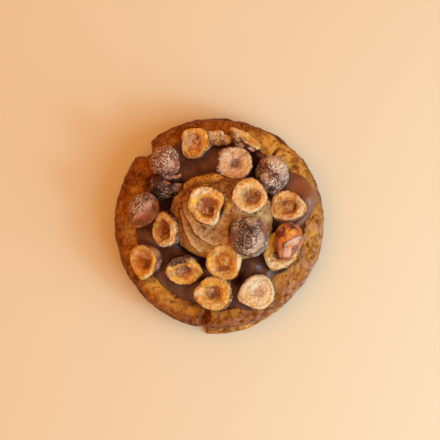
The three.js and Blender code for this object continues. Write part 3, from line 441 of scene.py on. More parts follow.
def crumb(points, size, seed=0, octaves=3):
    """Rougher noise: lumps of a size, and of its halves."""
    return sum(lumps(points, size / 2**k, seed + 17 * k) * 0.6**k for k in range(octaves)) / 1.5


def curve(points):
    """A smooth line through a few places."""
    places = [points[0], *points, points[-1]]
    line = []
    for a, b, c, d in zip(places, places[1:], places[2:], places[3:]):
        for t in np.arange(CURVE_STEPS) / CURVE_STEPS:
            line.append([
                0.5 * (2 * q + (r - p) * t + (2 * p - 5 * q + 4 * r - s) * t**2
                       + (3 * q - p - 3 * r + s) * t**3)
                for p, q, r, s in zip(a, b, c, d)
            ])
    return [*line, points[-1]]


def beside(x, y, points):
    """Distance from a smooth line, positive on its left, and the share of the line gone by."""
    line = curve(points)
    best, side, along = np.full(x.shape, np.inf), np.zeros(x.shape), np.zeros(x.shape)
    for index, ((ax, ay), (bx, by)) in enumerate(zip(line, line[1:])):
        dx, dy = bx - ax, by - ay
        t = np.clip(((x - ax) * dx + (y - ay) * dy) / (dx * dx + dy * dy), 0, 1)
        px, py = x - ax - t * dx, y - ay - t * dy
        distance = np.hypot(px, py)
        closer = distance < best
        best = np.where(closer, distance, best)
        side = np.where(closer, np.sign(dx * py - dy * px), side)
        along = np.where(closer, (index + t) / (len(line) - 1), along)
    return best * side, along


def faded(along):
    """1 along a line, falling to 0 at its ends."""
    return step(along / FADED_END) * step((1 - along) / FADED_END)


def patch(x, y, place, noise):
    """1 on a patch, falling to 0 round it: place, half length, half width and angle."""
    dx, dy, long, wide, angle = place
    cos, sin = math.cos(math.radians(angle)), math.sin(math.radians(angle))
    u, v = (x - dx) * cos + (y - dy) * sin, (y - dy) * cos - (x - dx) * sin
    return step((1.3 - np.hypot(u / long, v / wide) - 0.3 * noise) / 0.6)


def blend(share, first, second):
    """A colour for each point, from the first at a share of 0 to the second at 1."""
    share = np.asarray(share)[..., None]
    return first * (1 - share) + second * share


# ---------------------------------------------------------------- meshes


def outward(rings):
    """Unit normals of a grid of rings that is closed round each ring."""
    along = np.roll(rings, -1, axis=1) - np.roll(rings, 1, axis=1)
    up = np.gradient(rings, axis=0)
    normal = np.cross(along, up)
    return normal / np.maximum(np.linalg.norm(normal, axis=-1, keepdims=True), 1e-9)


def put(name, data):
    """Adds an object to the scene."""
    made = bpy.data.objects.new(name, data)
    bpy.context.scene.collection.objects.link(made)
    return made


def filled_mesh(name, points, corners, starts, values):
    """A mesh from flat arrays, with the named numbers or colours of its points."""
    mesh = bpy.data.meshes.new(name)
    mesh.vertices.add(len(points) // 3)
    mesh.loops.add(len(corners))
    mesh.polygons.add(len(starts))
    mesh.vertices.foreach_set("co", points)
    mesh.loops.foreach_set("vertex_index", corners.astype(np.int32))
    mesh.polygons.foreach_set("loop_start", starts.astype(np.int32))
    for key, value in values.items():
        kind, field = ("FLOAT", "value") if value.ndim == 1 else ("FLOAT_COLOR", "color")
        data = mesh.attributes.new(key, kind, "POINT").data
        data.foreach_set(field, value.ravel().astype(np.float32))
    mesh.update(calc_edges=True)
    return mesh


def ring_object(name, rings, bottom, top, material, values):
    """A closed object from rings in millimetres; `values` are named numbers for each ring point."""
    levels, count = rings.shape[:2]
    points = np.vstack([[bottom], rings.reshape(-1, 3), [top]])
    points = (points - [*MIDDLE, 0]) / 1000
    turn = np.arange(count)
    following = (turn + 1) % count
    level, last = 1 + np.arange(levels - 1)[:, None] * count, 1 + (levels - 1) * count
    above = level + count
    quads = np.stack([level + turn, level + following, above + following, above + turn], axis=-1)
    caps = np.stack([
        [0 * turn, 1 + following, 1 + turn],
        [0 * turn + len(points) - 1, last + turn, last + following],
    ]).transpose(0, 2, 1)
    corners = np.concatenate([quads.ravel(), caps.ravel()])
    starts = np.concatenate([np.arange(0, quads.size, 4), quads.size + np.arange(0, caps.size, 3)])
    whole = {}
    for key, value in values.items():
        if np.ndim(value) == 3:
            value = np.vstack([value[0].mean(axis=0), value.reshape(-1, 3), value[-1].mean(axis=0)])
            whole[key] = np.hstack([value, np.ones((len(value), 1))])
        else:
            value = np.broadcast_to(value, rings.shape[:2])
            whole[key] = np.concatenate([[value[0].mean()], value.ravel(), [value[-1].mean()]])
    mesh = filled_mesh(name, points.ravel(), corners, starts, whole)
    mesh.polygons.foreach_set("use_smooth", np.ones(len(mesh.polygons), bool))
    mesh.materials.append(material)
    return put(name, mesh)


def stand_for(piece, node):
    """Lets a piece stand for a node of the solids."""
    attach(piece, "root")
    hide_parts(node)


# ---------------------------------------------------------------- materials


def linear(code):
    """A colour such as "a5662b" as linear red, green, blue and alpha."""
    parts = [int(code[i : i + 2], 16) / 255 for i in (0, 2, 4)]
    return (*[c / 12.92 if c <= 0.04045 else ((c + 0.055) / 1.055) ** 2.4 for c in parts], 1.0)


def paint(colour):
    """A colour given as its code or as a setting, with alpha."""
    return linear(colour) if isinstance(colour, str) else (*colour, 1.0)


def grey(value):
    """A roughness as a colour, for a ramp."""
    return (value, value, value)


def feed(tree, socket, value):
    """Links a socket to a node's output, or sets its value."""
    if isinstance(value, bpy.types.NodeSocket):
        tree.links.new(value, socket)
    else:
        socket.default_value = value


def add_node(tree, kind, inputs, **settings):
    """A new node, with its settings first and then its inputs."""
    made = tree.nodes.new(kind)
    for key, value in settings.items():
        setattr(made, key, value)
    for key, value in inputs.items():
        feed(tree, made.inputs[key], value)
    return made


class Finish:
    """A material under construction."""

    def __init__(self, name, **shader):
        self.material = bpy.data.materials.new(name)
        self.material.use_nodes = True
        self.tree = self.material.node_tree
        self.shader = self.tree.nodes["Principled BSDF"]
        for key, value in shader.items():
            self.set(key.replace("_", " "), value)
        self.place = self.tree.nodes.new("ShaderNodeTexCoord").outputs["Object"]

    def set(self, key, value):
        """Sets or links an input of the shader."""
        feed(self.tree, self.shader.inputs[key], value)

    def attribute(self, name):
        """A number or a colour that the mesh carries under a name."""
        return add_node(self.tree, "ShaderNodeAttribute", {}, attribute_name=name).outputs

    def value(self, name):
        """A named number that the mesh carries."""
        return self.attribute(name)["Fac"]

    def noise(self, size, detail=2.0, shift=0.0):
        """Noise from about 0.2 to 0.8, in lumps of a size in millimetres."""
        shifted = {0: self.place, 1: (shift, shift * 0.7, -shift)}
        moved = add_node(self.tree, "ShaderNodeVectorMath", shifted, operation="ADD").outputs[0]
        inputs = {"Vector": moved, "Scale": 1000 / size, "Detail": detail}
        return add_node(self.tree, "ShaderNodeTexNoise", inputs).outputs["Fac"]

    def maths(self, operation, first, second, clamp=False):
        """The result of a sum on two numbers or outputs."""
        settings = dict(operation=operation, use_clamp=clamp)
        return add_node(self.tree, "ShaderNodeMath", {0: first, 1: second}, **settings).outputs[0]

    def times(self, first, second):
        """A product."""
        return self.maths("MULTIPLY", first, second)

    def plus(self, first, second, clamp=False):
        """A sum, kept within 0 and 1 where it is clamped."""
        return self.maths("ADD", first, second, clamp)

    def between(self, value, low, high):
        """0 below `low`, 1 above `high`, and smooth between them."""
        inputs = {"Value": value, "From Min": low, "From Max": high}
        made = add_node(self.tree, "ShaderNodeMapRange", inputs, interpolation_type="SMOOTHSTEP")
        return made.outputs["Result"]

    def ramp(self, value, *stops):
        """A colour that follows a value: each stop is a value and its colour."""
        made = add_node(self.tree, "ShaderNodeValToRGB", {"Fac": value})
        elements = made.color_ramp.elements
        while len(elements) < len(stops):
            elements.new(0.5)
        for element, (place, colour) in zip(elements, stops):
            element.position = place
            element.color = paint(colour)
        return made.outputs["Color"]

    def mix(self, share, first, second):
        """The first colour at a share of 0 and the second at 1."""
        first, second = (c if isinstance(c, bpy.types.NodeSocket) else paint(c) for c in (first, second))
        made = add_node(self.tree, "ShaderNodeMix", {0: share, 6: first, 7: second}, data_type="RGBA")
        return made.outputs[2]

    def flecked(self, colour, flecks):
        """Flecks over a colour: their size, detail and shift, where they begin and end, share, colour."""
        for size, detail, shift, low, high, share, code in flecks:
            fleck = self.between(self.noise(size, detail, shift), low, high)
            colour = self.mix(self.times(fleck, share), colour, code)
        return colour

    def finish(self, colour, roughness, *bumps):
        """Sets the colour and roughness, and bumps given as height and depth in millimetres."""
        self.set("Base Color", colour)
        self.set("Roughness", roughness)
        normal = None
        for height, depth in bumps:
            inputs = {"Height": height, "Distance": depth / 1000, "Strength": 1.0}
            if normal:
                inputs["Normal"] = normal
            normal = add_node(self.tree, "ShaderNodeBump", inputs).outputs["Normal"]
        if normal:
            self.set("Normal", normal)
        return self.material


def dough_finish(settings):
    """Baked dough: golden to brown on top, dark down the side, pale where the foot spread, with painted
    light and shade.
    """
    f = Finish("baked_dough", Specular_IOR_Level=0.12, Specular_Tint=SHEEN)
    mottle, grain, fine = f.noise(7, 3), f.noise(2.4, 4, 0.3), f.noise(0.9, 3, 0.7)
    mixed = f.plus(f.times(mottle, 0.5), f.times(grain, 0.5))
    light = f.ramp(mixed, (0.36, "9a601c"), (0.5, settings.golden), (0.68, "e4a242"))
    brown = f.ramp(mixed, (0.36, "682e04"), (0.5, settings.crust), (0.68, "ae600c"))
    patches = f.times(f.maths("SUBTRACT", f.noise(4, 3, 5.0), 0.5), 1.5)
    # Browner where the dough is toasted, and on the upper left as painted shade.
    colour = f.mix(f.plus(f.value("toast_and_shade"), patches, True), light, brown)
    colour = f.flecked(colour, (
        (3, 3, 1.3, 0.52, 0.66, 0.6, "7c3e1c"),
        (1.2, 2, 2.1, 0.6, 0.72, 0.35, "4a220e"),
        (1.0, 2, 3.4, 0.56, 0.7, 0.3, "e2a456"),
    ))
    # Paler, pinker patches over the lower right of the top, partly painted sheen where the key light falls.
    pink_patches_and_sheen = f.times(f.value("pink_patches_and_sheen"), f.between(f.noise(2.4, 3, 9.0), 0.42, 0.62))
    colour = f.mix(pink_patches_and_sheen, colour, "cc9272")
    side = f.ramp(grain, (0.36, "4e220c"), (0.52, settings.shoulder), (0.68, "98572e"))
    # A painted sheen: the shoulder on the lower right is painted pinker and lighter where the key light
    # shines on it.
    side = f.mix(f.value("sheen"), side, f.ramp(grain, (0.34, "8a5342"), (0.56, "b98874")))
    colour = f.mix(f.value("side"), colour, side)
    # The foot is painted pale: partly its own paler dough, partly painted light where the key light falls
    # on it.
    colour = f.mix(f.value("foot"), colour, f.ramp(grain, (0.38, "9c5418"), (0.62, "e8a050")))
    colour = f.mix(f.value("crack"), colour, f.ramp(fine, (0.4, "6e2c05"), (0.65, "b05c14")))
    colour = f.mix(f.times(f.value("pit"), 0.45), colour, "4a240e")
    roughness = f.ramp(grain, (0.35, grey(0.34)), (0.65, grey(0.55)))
    return f.finish(colour, roughness, (grain, 0.55), (fine, 0.35))


def chocolate_finish(settings):
    """Smooth chocolate, milky on the lobe, with a painted lavender sheen at the front and painted shade,
    almost black, in the gaps.
    """
    f = Finish("chocolate", Specular_Tint=SHEEN, Coat_Roughness=0.22)
    cloud, fine, painted_shade = f.noise(6, 3), f.noise(1.2, 3, 0.4), f.value("painted_shade")
    colour = f.ramp(cloud, (0.35, "50281a"), (0.65, settings.chocolate))
    # A painted sheen: the front is painted lavender where the key light would shine on it.
    colour = f.mix(f.value("painted_lavender_sheen"), colour, f.ramp(cloud, (0.35, "5a3c34"), (0.65, "805a4c")))
    colour = f.mix(f.value("milky"), colour, f.ramp(cloud, (0.3, "7e452a"), (0.7, "a0623f")))
    # Painted shade: almost black round the nuts and in the gaps, with less shine there.
    colour = f.mix(f.times(painted_shade, 0.88), colour, "120503")
    shine = f.maths("SUBTRACT", 0.6, f.times(painted_shade, 0.42))
    f.set("Specular IOR Level", shine)
    f.set("Coat Weight", f.times(shine, 0.33))
    roughness = f.ramp(fine, (0.3, grey(0.3)), (0.7, grey(0.4)))
    return f.finish(colour, roughness, (fine, 0.05), (cloud, 0.25))


def praline_finish(settings):
    """Grainy praline, toasted where torn, with amber syrup; painted shade and highlights on its sides,
    folds and lip.
    """
    f = Finish("praline", Specular_IOR_Level=0.35, Specular_Tint=SHEEN)
    cloud, grain, fine = f.noise(4, 3), f.noise(1.6, 4, 0.5), f.noise(0.7, 3, 0.9)
    colour = f.ramp(cloud, (0.36, "9e6a3a"), (0.55, settings.praline), (0.7, "d6a66e"))
    colour = f.mix(f.times(f.between(grain, 0.54, 0.68), 0.4), colour, "dcae76")
    colour = f.flecked(colour, [(1.0, 2, 4.0, 0.58, 0.68, 0.7, "74400f")])
    # Browner where torn and toasted, and as painted shade on the left and back and beside the folds.
    toast_and_shade_ramp = f.ramp(grain, (0.38, "5f2c0c"), (0.62, "b06c2a"))
    colour = f.mix(f.times(f.value("toast_and_shade"), 0.85), colour, toast_and_shade_ramp)
    # Amber syrup; along the lip it is a painted highlight.
    colour = f.mix(f.value("amber"), colour, f.ramp(fine, (0.35, "b06a18"), (0.6, "f0b040")))
    # Painted highlights along the fold edges, painted shade in the grooves under them, and dark pits.
    for name, share, code in (("pale", 0.38, "e4b880"), ("painted_crease_shade", 0.55, "5e2a08"), ("pit", 0.7, "5a2a0c")):
        colour = f.mix(f.times(f.value(name), share), colour, code)
    roughness = f.ramp(grain, (0.3, grey(0.45)), (0.7, grey(0.65)))
    return f.finish(colour, roughness, (grain, 0.5), (fine, 0.35))


def nut_finish(settings):
    """Flesh, skin and sugar crust: the colours and numbers that each nut's mesh carries."""
    f = Finish("roasted_hazelnut", Specular_Tint=SHEEN)
    grain, fine, speck = f.noise(1.3, 3, 0.5), f.noise(0.6, 2, 0.9), f.noise(0.72, 2, 2.0)
    flecks, crust, gloss = f.times(f.value("flesh"), 0.25), f.value("crust"), f.value("gloss")
    colour = f.attribute("tint")["Color"]
    colour = f.mix(f.times(f.between(grain, 0.5, 0.68), flecks), colour, "8a4410")
    colour = f.mix(f.times(f.between(f.noise(0.8, 2, 4.0), 0.5, 0.66), flecks), colour, "fbdb9e")
    dust = f.times(f.value("dust"), f.between(f.noise(0.7, 2, 7.0), 0.46, 0.6))
    colour = f.mix(dust, colour, settings.grain)
    coated = f.times(crust, f.between(f.noise(2.0, 3, 8.0), 0.3, 0.58))
    colour = f.mix(f.times(coated, 0.65), colour, settings.crusted)
    pits = f.times(f.between(f.noise(0.9, 2, 6.0), 0.52, 0.66), f.times(crust, 0.85))
    colour = f.mix(pits, colour, "2a0f0a")
    cover = f.between(f.plus(speck, f.times(f.value("frost"), 0.09)), 0.53, 0.64)
    patches = f.plus(f.between(f.noise(3.4, 2, 11.0), 0.42, 0.58), 0.3, True)
    cover = f.times(f.times(cover, f.value("sugar")), patches)
    colour = f.mix(cover, colour, f.mix(0.18, settings.sugar, colour))
    f.set("Specular IOR Level", f.plus(f.times(gloss, 0.4), 0.22))
    roughness = f.maths("SUBTRACT", 0.5, f.times(gloss, 0.36))
    return f.finish(colour, roughness, (grain, 0.75), (fine, 0.6), (cover, 0.12))


def grain_finish(settings):
    """Loose sugar grains, a little clear."""
    f = Finish("sugar_grains", Specular_IOR_Level=0.6, Transmission_Weight=0.2, IOR=1.5,
               Specular_Tint=SHEEN)
    colour = f.ramp(f.noise(1.5, 2), (0.35, "8a6450"), (0.5, settings.grain), (0.65, "f6e2d0"))
    return f.finish(colour, 0.3)


def crumb_finish(settings):
    """Loose crumbs of dough."""
    f = Finish("loose_crumbs", Specular_IOR_Level=0.3, Specular_Tint=SHEEN)
    colour = f.ramp(f.noise(3, 2), (0.4, "5a280a"), (0.52, "9c5414"), (0.65, "d8984a"))
    return f.finish(colour, 0.7)


# ---------------------------------------------------------------- the baked cookie

# Bulges and dents of the outline: height, angle and reach.
SIDE_BULGES = [(2.9, 124, 75, 60), (1.3, 48, 50), (0.8, 182, 50), (-1.2, 308, 68, 50)]
# How much browner the top is round an angle, or paler below 0, partly as painted shade: amount, angle and
# reach.
BROWNED_AND_SHADED = [
    (0.5, 122, 40), (-0.95, 48, 38), (-0.25, 0, 40), (0.1, 300, 45), (0.15, 165, 50),
    (-0.3, 208, 36), (0.25, 262, 25), (0.2, 85, 25),
]


def side_radius(angle):
    """Radius of the cookie where it is widest."""
    notch = 3.8 * near(angle, 133.8, 4.4, 7) ** 0.6 + 1.1 * near(angle, 259, 3, 2.6)
    ripple = 0.15 * np.sin(np.radians(angle * 9)) * np.cos(np.radians(angle * 4))
    return SIDE_RADIUS + summed(angle, SIDE_BULGES) - notch + ripple


def foot_radius(angle):
    """Radius of the underside, which spreads into a foot at the lower right."""
    start = np.clip((angle - 260.8) / 1.2, 0, 1)
    return side_radius(angle) - 0.5 + (FOOT_REACH + 0.5) * start * near(angle, 262, 2, 64)


def well_radius(angle):
    """Radius of the shallow well that holds the chocolate."""
    ledge = 2.8 * near(angle, 316, 13)
    return WELL_RADIUS + 0.5 * np.sin(np.radians(angle * 3 + 40)) - 1.6 * near(angle, 330, 40) - ledge


def crack_share(angle, radius, points):
    """How deep the cracks are at a place, and how much of it is crack."""
    depth, share = np.zeros_like(radius), np.zeros_like(radius)
    for at, inner, outer, half_width, deep in CRACKS:
        wander = 0.5 * lumps(points, 3.0, 60) * half_width
        across = np.abs(np.radians((angle - at + 180) % 360 - 180) * radius + wander)
        width = half_width * (1 + 0.35 * lumps(points, 2.0, 61))
        along = np.clip((radius - inner) / 3, 0, 1) * np.clip((outer - radius) / 2, 0, 1)
        inside = np.clip(1 - across / width, 0, 1)
        depth = np.maximum(depth, deep * along * inside**0.8)
        share = np.maximum(share, along * step(inside * 2))
    return depth, share


def cookie_profile(side, foot, well):
    """Radius and height of the smooth cookie's rings, from its underside up, over and into the well."""
    inner, rise = side - SHOULDER_REACH, THICKNESS - WIDEST_HEIGHT
    rows = [(share * (foot - FOOT_EDGE), 0) for share in (0.3, 0.6, 0.8, 0.92, 1)]
    rows += [(foot - FOOT_EDGE + FOOT_EDGE * math.sin(t), FOOT_EDGE - FOOT_EDGE * math.cos(t))
             for t in np.radians([30, 55, 80])]
    for (low, low_z), (high, high_z), steps in (
        ((foot, FOOT_EDGE), (foot - 0.15, FOOT_HEIGHT), 5),
        ((foot - 0.15, FOOT_HEIGHT), (side - 0.9, FOOT_HEIGHT + 1.7), 7),
        ((side - 0.9, FOOT_HEIGHT + 1.7), (side - 0.35, BELLY_HEIGHT), 12),
        ((side - 0.35, BELLY_HEIGHT), (side, WIDEST_HEIGHT), 11),
    ):
        rows += [(low + (high - low) * t, low_z + (high_z - low_z) * t) for t in np.arange(steps) / steps]
    rows += [(side - SHOULDER_REACH * (1 - math.cos(t)), WIDEST_HEIGHT + rise * math.sin(t))
             for t in np.radians(np.linspace(0, 90, SHOULDER_RINGS))]
    rows += [(inner + (well + 0.7 - inner) * t, THICKNESS - 0.1 * t**4)
             for t in np.arange(1, RIM_RINGS + 1) / RIM_RINGS]
    rows += [(well + 0.4 - 0.6 * t, THICKNESS - 0.3 - 0.9 * t) for t in (0, 0.5, 1)]
    rows += [(well - 1.3, WELL_FLOOR), (well * 0.5, WELL_FLOOR)]
    radius = np.array([row[0] for row in rows])
    height = np.array([np.broadcast_to(row[1], side.shape) for row in rows], float)
    for _ in range(2):  # soften the profile's corners, but keep the underside flat
        for values in (radius, height):
            values[8:-2] = (values[7:-3] + 2 * values[8:-2] + values[9:-1]) / 4
    return radius, height


def cookie_rings(count):
    """The cookie's rings, and the numbers that its finish reads."""
    angle = np.arange(count) * 360 / count
    side, well = side_radius(angle), well_radius(angle)
    inner, rise = side - SHOULDER_REACH, THICKNESS - WIDEST_HEIGHT
    radius, height = cookie_profile(side, foot_radius(angle), well)
    turn = np.broadcast_to(angle, radius.shape)
    x, y = spot(turn, radius)
    points = np.stack([x, y, height], axis=-1)
    out = outward(points)
    on_top = step((height - WIDEST_HEIGHT) / rise * 1.4 - 0.3) * step((radius - well + 2) / 2)
    deep, crack = crack_share(turn, radius, points)
    relief = 0.26 * uneven(x, y, 0 * x, 6, 4) + 0.24 * crumb(points, 3.0, 3) + 0.13 * crumb(points, 1.1, 5)
    pits = step((crumb(points, 2.0, 9, 2) - 0.34) / 0.2)
    wall = 0.3 * uneven(x, y, height, 5, 1) + 0.42 * crumb(points, 3.4, 11) + 0.2 * crumb(points, 1.2, 13)
    lift = on_top * (relief - 0.5 * pits) + (1 - on_top) * (wall - 0.3 * pits) * step(height / 2)
    notch = near(turn, 135, 5.5, 8) * step((radius - 40) / 3) * step(height / 3)
    lift = lift + 0.7 * notch * crumb(points, 1.8, 15)
    points = points + out * lift[..., None]
    points[..., 2] -= deep * step((height - CRACK_FOOT) / 6)
    points[..., 2] = np.maximum(points[..., 2], 0)

    # How brown the top is: the bake, browner towards the rim, and painted shade on the upper left.
    toast_and_shade = summed(turn, BROWNED_AND_SHADED, 0.5)
    toast_and_shade = toast_and_shade + (0.65 - 0.4 * near(turn, 350, 45)) * step((radius - inner + 1.6) / 4.4)
    # Paler, pinker patches and a pale smear on the lower right, partly painted sheen where the key light
    # falls.
    smear = mound(x, y, (38, -4), (14, 34)) + 0.7 * mound(x, y, (34, -17.5), (12, 16))
    pink_patches_and_sheen = (0.3 + 0.25 * step((radius - inner + 2) / 3)) * near(turn, 312, 105) + 0.5 * smear
    outer = step((radius - 30) / 4)  # the side and the rim, without the well's floor
    # The low side, and most of all the foot, are painted pale: partly paler dough, partly painted light
    # where the key light falls.
    low = step((6.0 - height + 1.5 * lumps(points, 3, 23)) / 3) * step((height - 0.5) / 1.5) * outer
    low = low * (0.25 + 0.75 * near(turn, 290, 40, 60))
    band = step((WIDEST_HEIGHT + rise * 0.8 - height) / 2.2 + 0.6 * lumps(points, 4, 21)) * outer
    band = band * (1 - 0.55 * step((9 - height + 2 * lumps(points, 4, 25)) / 7))
    return points, dict(
        side=band * (1 - notch) * (1 - low),
        crack=np.maximum(crack, notch * 0.8),
        foot=low,
        toast_and_shade=np.clip(toast_and_shade - 0.5 * smear, -0.4, 1),
        pit=pits * step(height / 2),
        # A painted sheen on the shoulder that faces the key light.
        sheen=near(turn, 335, 75) * step((height - 10) / 3),
        pink_patches_and_sheen=pink_patches_and_sheen,
        crumbly=on_top * (0.3 + step(lumps(points, 5, 71) * 2)),
    )


def cookie_top(angle, radius):
    """Height of the cookie's top where the chocolate's edge lies on it."""
    side, well = side_radius(angle), well_radius(angle)
    out = np.clip((radius - side + SHOULDER_REACH) / SHOULDER_REACH, 0, 1)
    drop = (THICKNESS - WIDEST_HEIGHT) * (1 - np.sqrt(1 - out**2))
    return THICKNESS - drop - 1.1 * step((well + 0.4 - radius) / 0.8) - 1.9 * step((well - radius) / 1.3)


# ---------------------------------------------------------------- the poured chocolate

# Runs and dents of the pool's edge: height, angle and reach.
POOL_BULGES = [
    (5, 114, 24), (3.4, 291, 14), (1.1, 190, 30), (1.6, 68, 14), (-2, 335, 34), (2.6, 335, 13),
    (-2.4, 316, 10),
]
POOL_MOUNDS = [  # x, y, radius and height of the drops and runs of chocolate that stand proud
    (15.9, 30.4, 3.2, 2.4), (15.0, -17.2, 6.4, 3.2), (20.5, -20.5, 4.0, 1.6), (-20.0, -8.4, 5.4, 1.9),
    (-31.2, -5.2, 4.6, 1.5), (-27.6, -6.6, 4.0, 1.3), (36.4, 11.4, 6.8, 2.9),
]
GAPS = [  # x, y and radius of the deep gaps between the nuts, where the chocolate is low and painted dark as shade
    (-22.4, 9.8, 4.2), (14.4, 24.0, 3.4), (17.5, 14.0, 2.6), (-7.8, -15.0, 3.2), (7.6, -23.0, 2.6),
    (22.2, -1.6, 3.0), (-27.4, 22.0, 2.6), (17.5, 32.5, 1.6), (-6.2, -24.4, 2.2), (21.5, 5.5, 2.2),
]
GAP_DEPTH = 2.0
POOL_FLOOR = WELL_FLOOR + 0.1
POOL_RISE = 0.7  # of its surface over the rim
EDGE_SHARE = 0.12  # of the pool's radius, where the rings lie closer
EDGE_RINGS, POOL_RINGS = 22, 84


def pool_radius(angle):
    """Radius of the chocolate's edge, which runs over the rim at the right."""
    lobe = 8.3 * near(angle, 19, 21, 27) ** 0.7
    return summed(angle, POOL_BULGES, POOL_RADIUS + lobe)


def pool_level(angle, radius):
    """Height of the chocolate's smooth surface."""
    x, y = spot(angle, radius)
    lobe = 1.7 * near(angle, 15, 30, 34) * np.clip((radius - 22) / 10, 0, 1)
    front = 0.9 * near(angle, 312, 30) - 0.5 * near(angle, 235, 50)
    return THICKNESS + POOL_RISE + lobe + front + 0.25 * uneven(x, y, 0 * x, 9, 2)


def creep(points, reach=0.16):
    """How far a soft filling creeps up at each point against the nuts beside it, from 0 to 1."""
    risen = np.zeros(points.shape[:-1])
    for nut, half in every_nut():
        local = (points - nut_middle(nut)) @ nut_turn(nut, half)
        distance = np.linalg.norm(local / nut_reach(nut), axis=-1)
        risen = np.maximum(risen, bell(distance - 1, reach))
    return risen


def pool_rings(count):
    """The chocolate's rings, and the numbers that its finish reads."""
    angle = np.arange(count) * 360 / count
    shares = np.concatenate([1 - EDGE_SHARE * (np.arange(EDGE_RINGS) / EDGE_RINGS) ** 1.6,
                             np.linspace(1 - EDGE_SHARE, 0.02, POOL_RINGS)])
    wobble = 0.35 * lumps(np.stack([*spot(angle, 40.0), 0 * angle], axis=-1), 4.5, 33)
    edge = (pool_radius(angle) + wobble)[None, :]
    radius = edge * shares[:, None]
    turn = np.broadcast_to(angle, radius.shape)
    x, y = spot(turn, radius)
    level = pool_level(turn, radius)
    flat = np.stack([x, y, level], axis=-1)
    level = level + 0.16 * crumb(flat, 6.0, 35) + 0.05 * crumb(flat, 1.6, 37)
    for mound_x, mound_y, size, height in POOL_MOUNDS:
        level = level + height * np.exp(-((x - mound_x) ** 2 + (y - mound_y) ** 2) / size**2 * 2)
    scoop = np.hypot((x - PRALINE_AT[0]) / PRALINE_REACH[0], (y - PRALINE_AT[1]) / PRALINE_REACH[1])
    level = level + 0.9 * creep(flat) + 0.8 * bell(scoop - 1, 0.06)
    # Painted shade: the chocolate is painted almost black round the nuts' feet, round the scoop's foot,
    # most on its lower left, and in the gaps between the nuts.
    shaded = 0.35 + 0.65 * near(turn, 215, 80)
    painted_shade = np.maximum(0.95 * creep(flat, reach=0.34) ** 1.7, shaded * bell(scoop - 1.07, 0.09))
    for gap_x, gap_y, size in GAPS:
        gap = np.exp(-(((x - gap_x) ** 2 + (y - gap_y) ** 2) / size**2) ** 1.5)
        painted_shade = np.maximum(painted_shade, gap)
        level = level - GAP_DEPTH * gap
    low = cookie_top(turn, edge) + 0.1
    inside = np.clip((edge - radius) / POOL_ROUNDING, 0, 1)
    height = low + (level - low) * np.sqrt(1 - (1 - inside) ** 2)
    rings = [np.stack([*spot(angle, edge[0] * share), base + 0 * angle], axis=-1) for share, base in (
        (0.4, POOL_FLOOR), (0.86, POOL_FLOOR), (0.97, THICKNESS - 1.2), (0.998, low[0] - 0.5))]
    values = dict(
        painted_shade=painted_shade,
        milky=near(turn, 18, 34) * step((radius - 29) / 5),
        # A painted sheen at the front.
        painted_lavender_sheen=0.9 * near(turn, 270, 85) * step((radius - 14) / 8),
    )
    hidden = np.zeros((len(rings), count))
    return (np.concatenate([rings, np.stack([x, y, height], axis=-1)]),
            {key: np.concatenate([hidden, value]) for key, value in values.items()})


# ---------------------------------------------------------------- the praline scoop

# Layers of the scoop that overlap towards its middle: the line of the edge, and its height.
LAYERS = [
    ([(-14.6, 9.5), (-14.3, 6.6), (-12.2, 1.1), (-9.1, -4.1), (-4.4, -7.8), (0.5, -9.5)], 1.3),
    ([(-16.2, 7.0), (-15.2, 2.5), (-13.8, -3.6), (-10.5, -9.2), (-7.0, -12.2)], 1.3),
]
LIP = [(-18.6, 8.0), (-17.4, 11.2), (-15.2, 14.4), (-11.8, 17.6), (-7.7, 19.2), (-2.5, 19.9), (3.0, 19.6)]
LIP_GROOVE = [(-16.6, 9.5), (-13.6, 14.0), (-9.4, 16.8), (-3.8, 17.6), (3.1, 18.2)]
# Corners and flats of the scoop's outline, as shares of its radius: amount, angle and reach.
PRALINE_CORNERS = [(0.1, 312, 50), (0.03, 222, 20), (-0.07, 188, 24), (-0.07, 80, 35)]
PRALINE_SWELL = 0.4  # how far the scoop stands out over its solid's smooth form
ROUGH_PATCH = ((5.0, 14.5), (18, 24))  # where its surface is torn: middle and spread
PRESSED_IN = 0.2  # how far the scoop reaches into a nut that lies on it


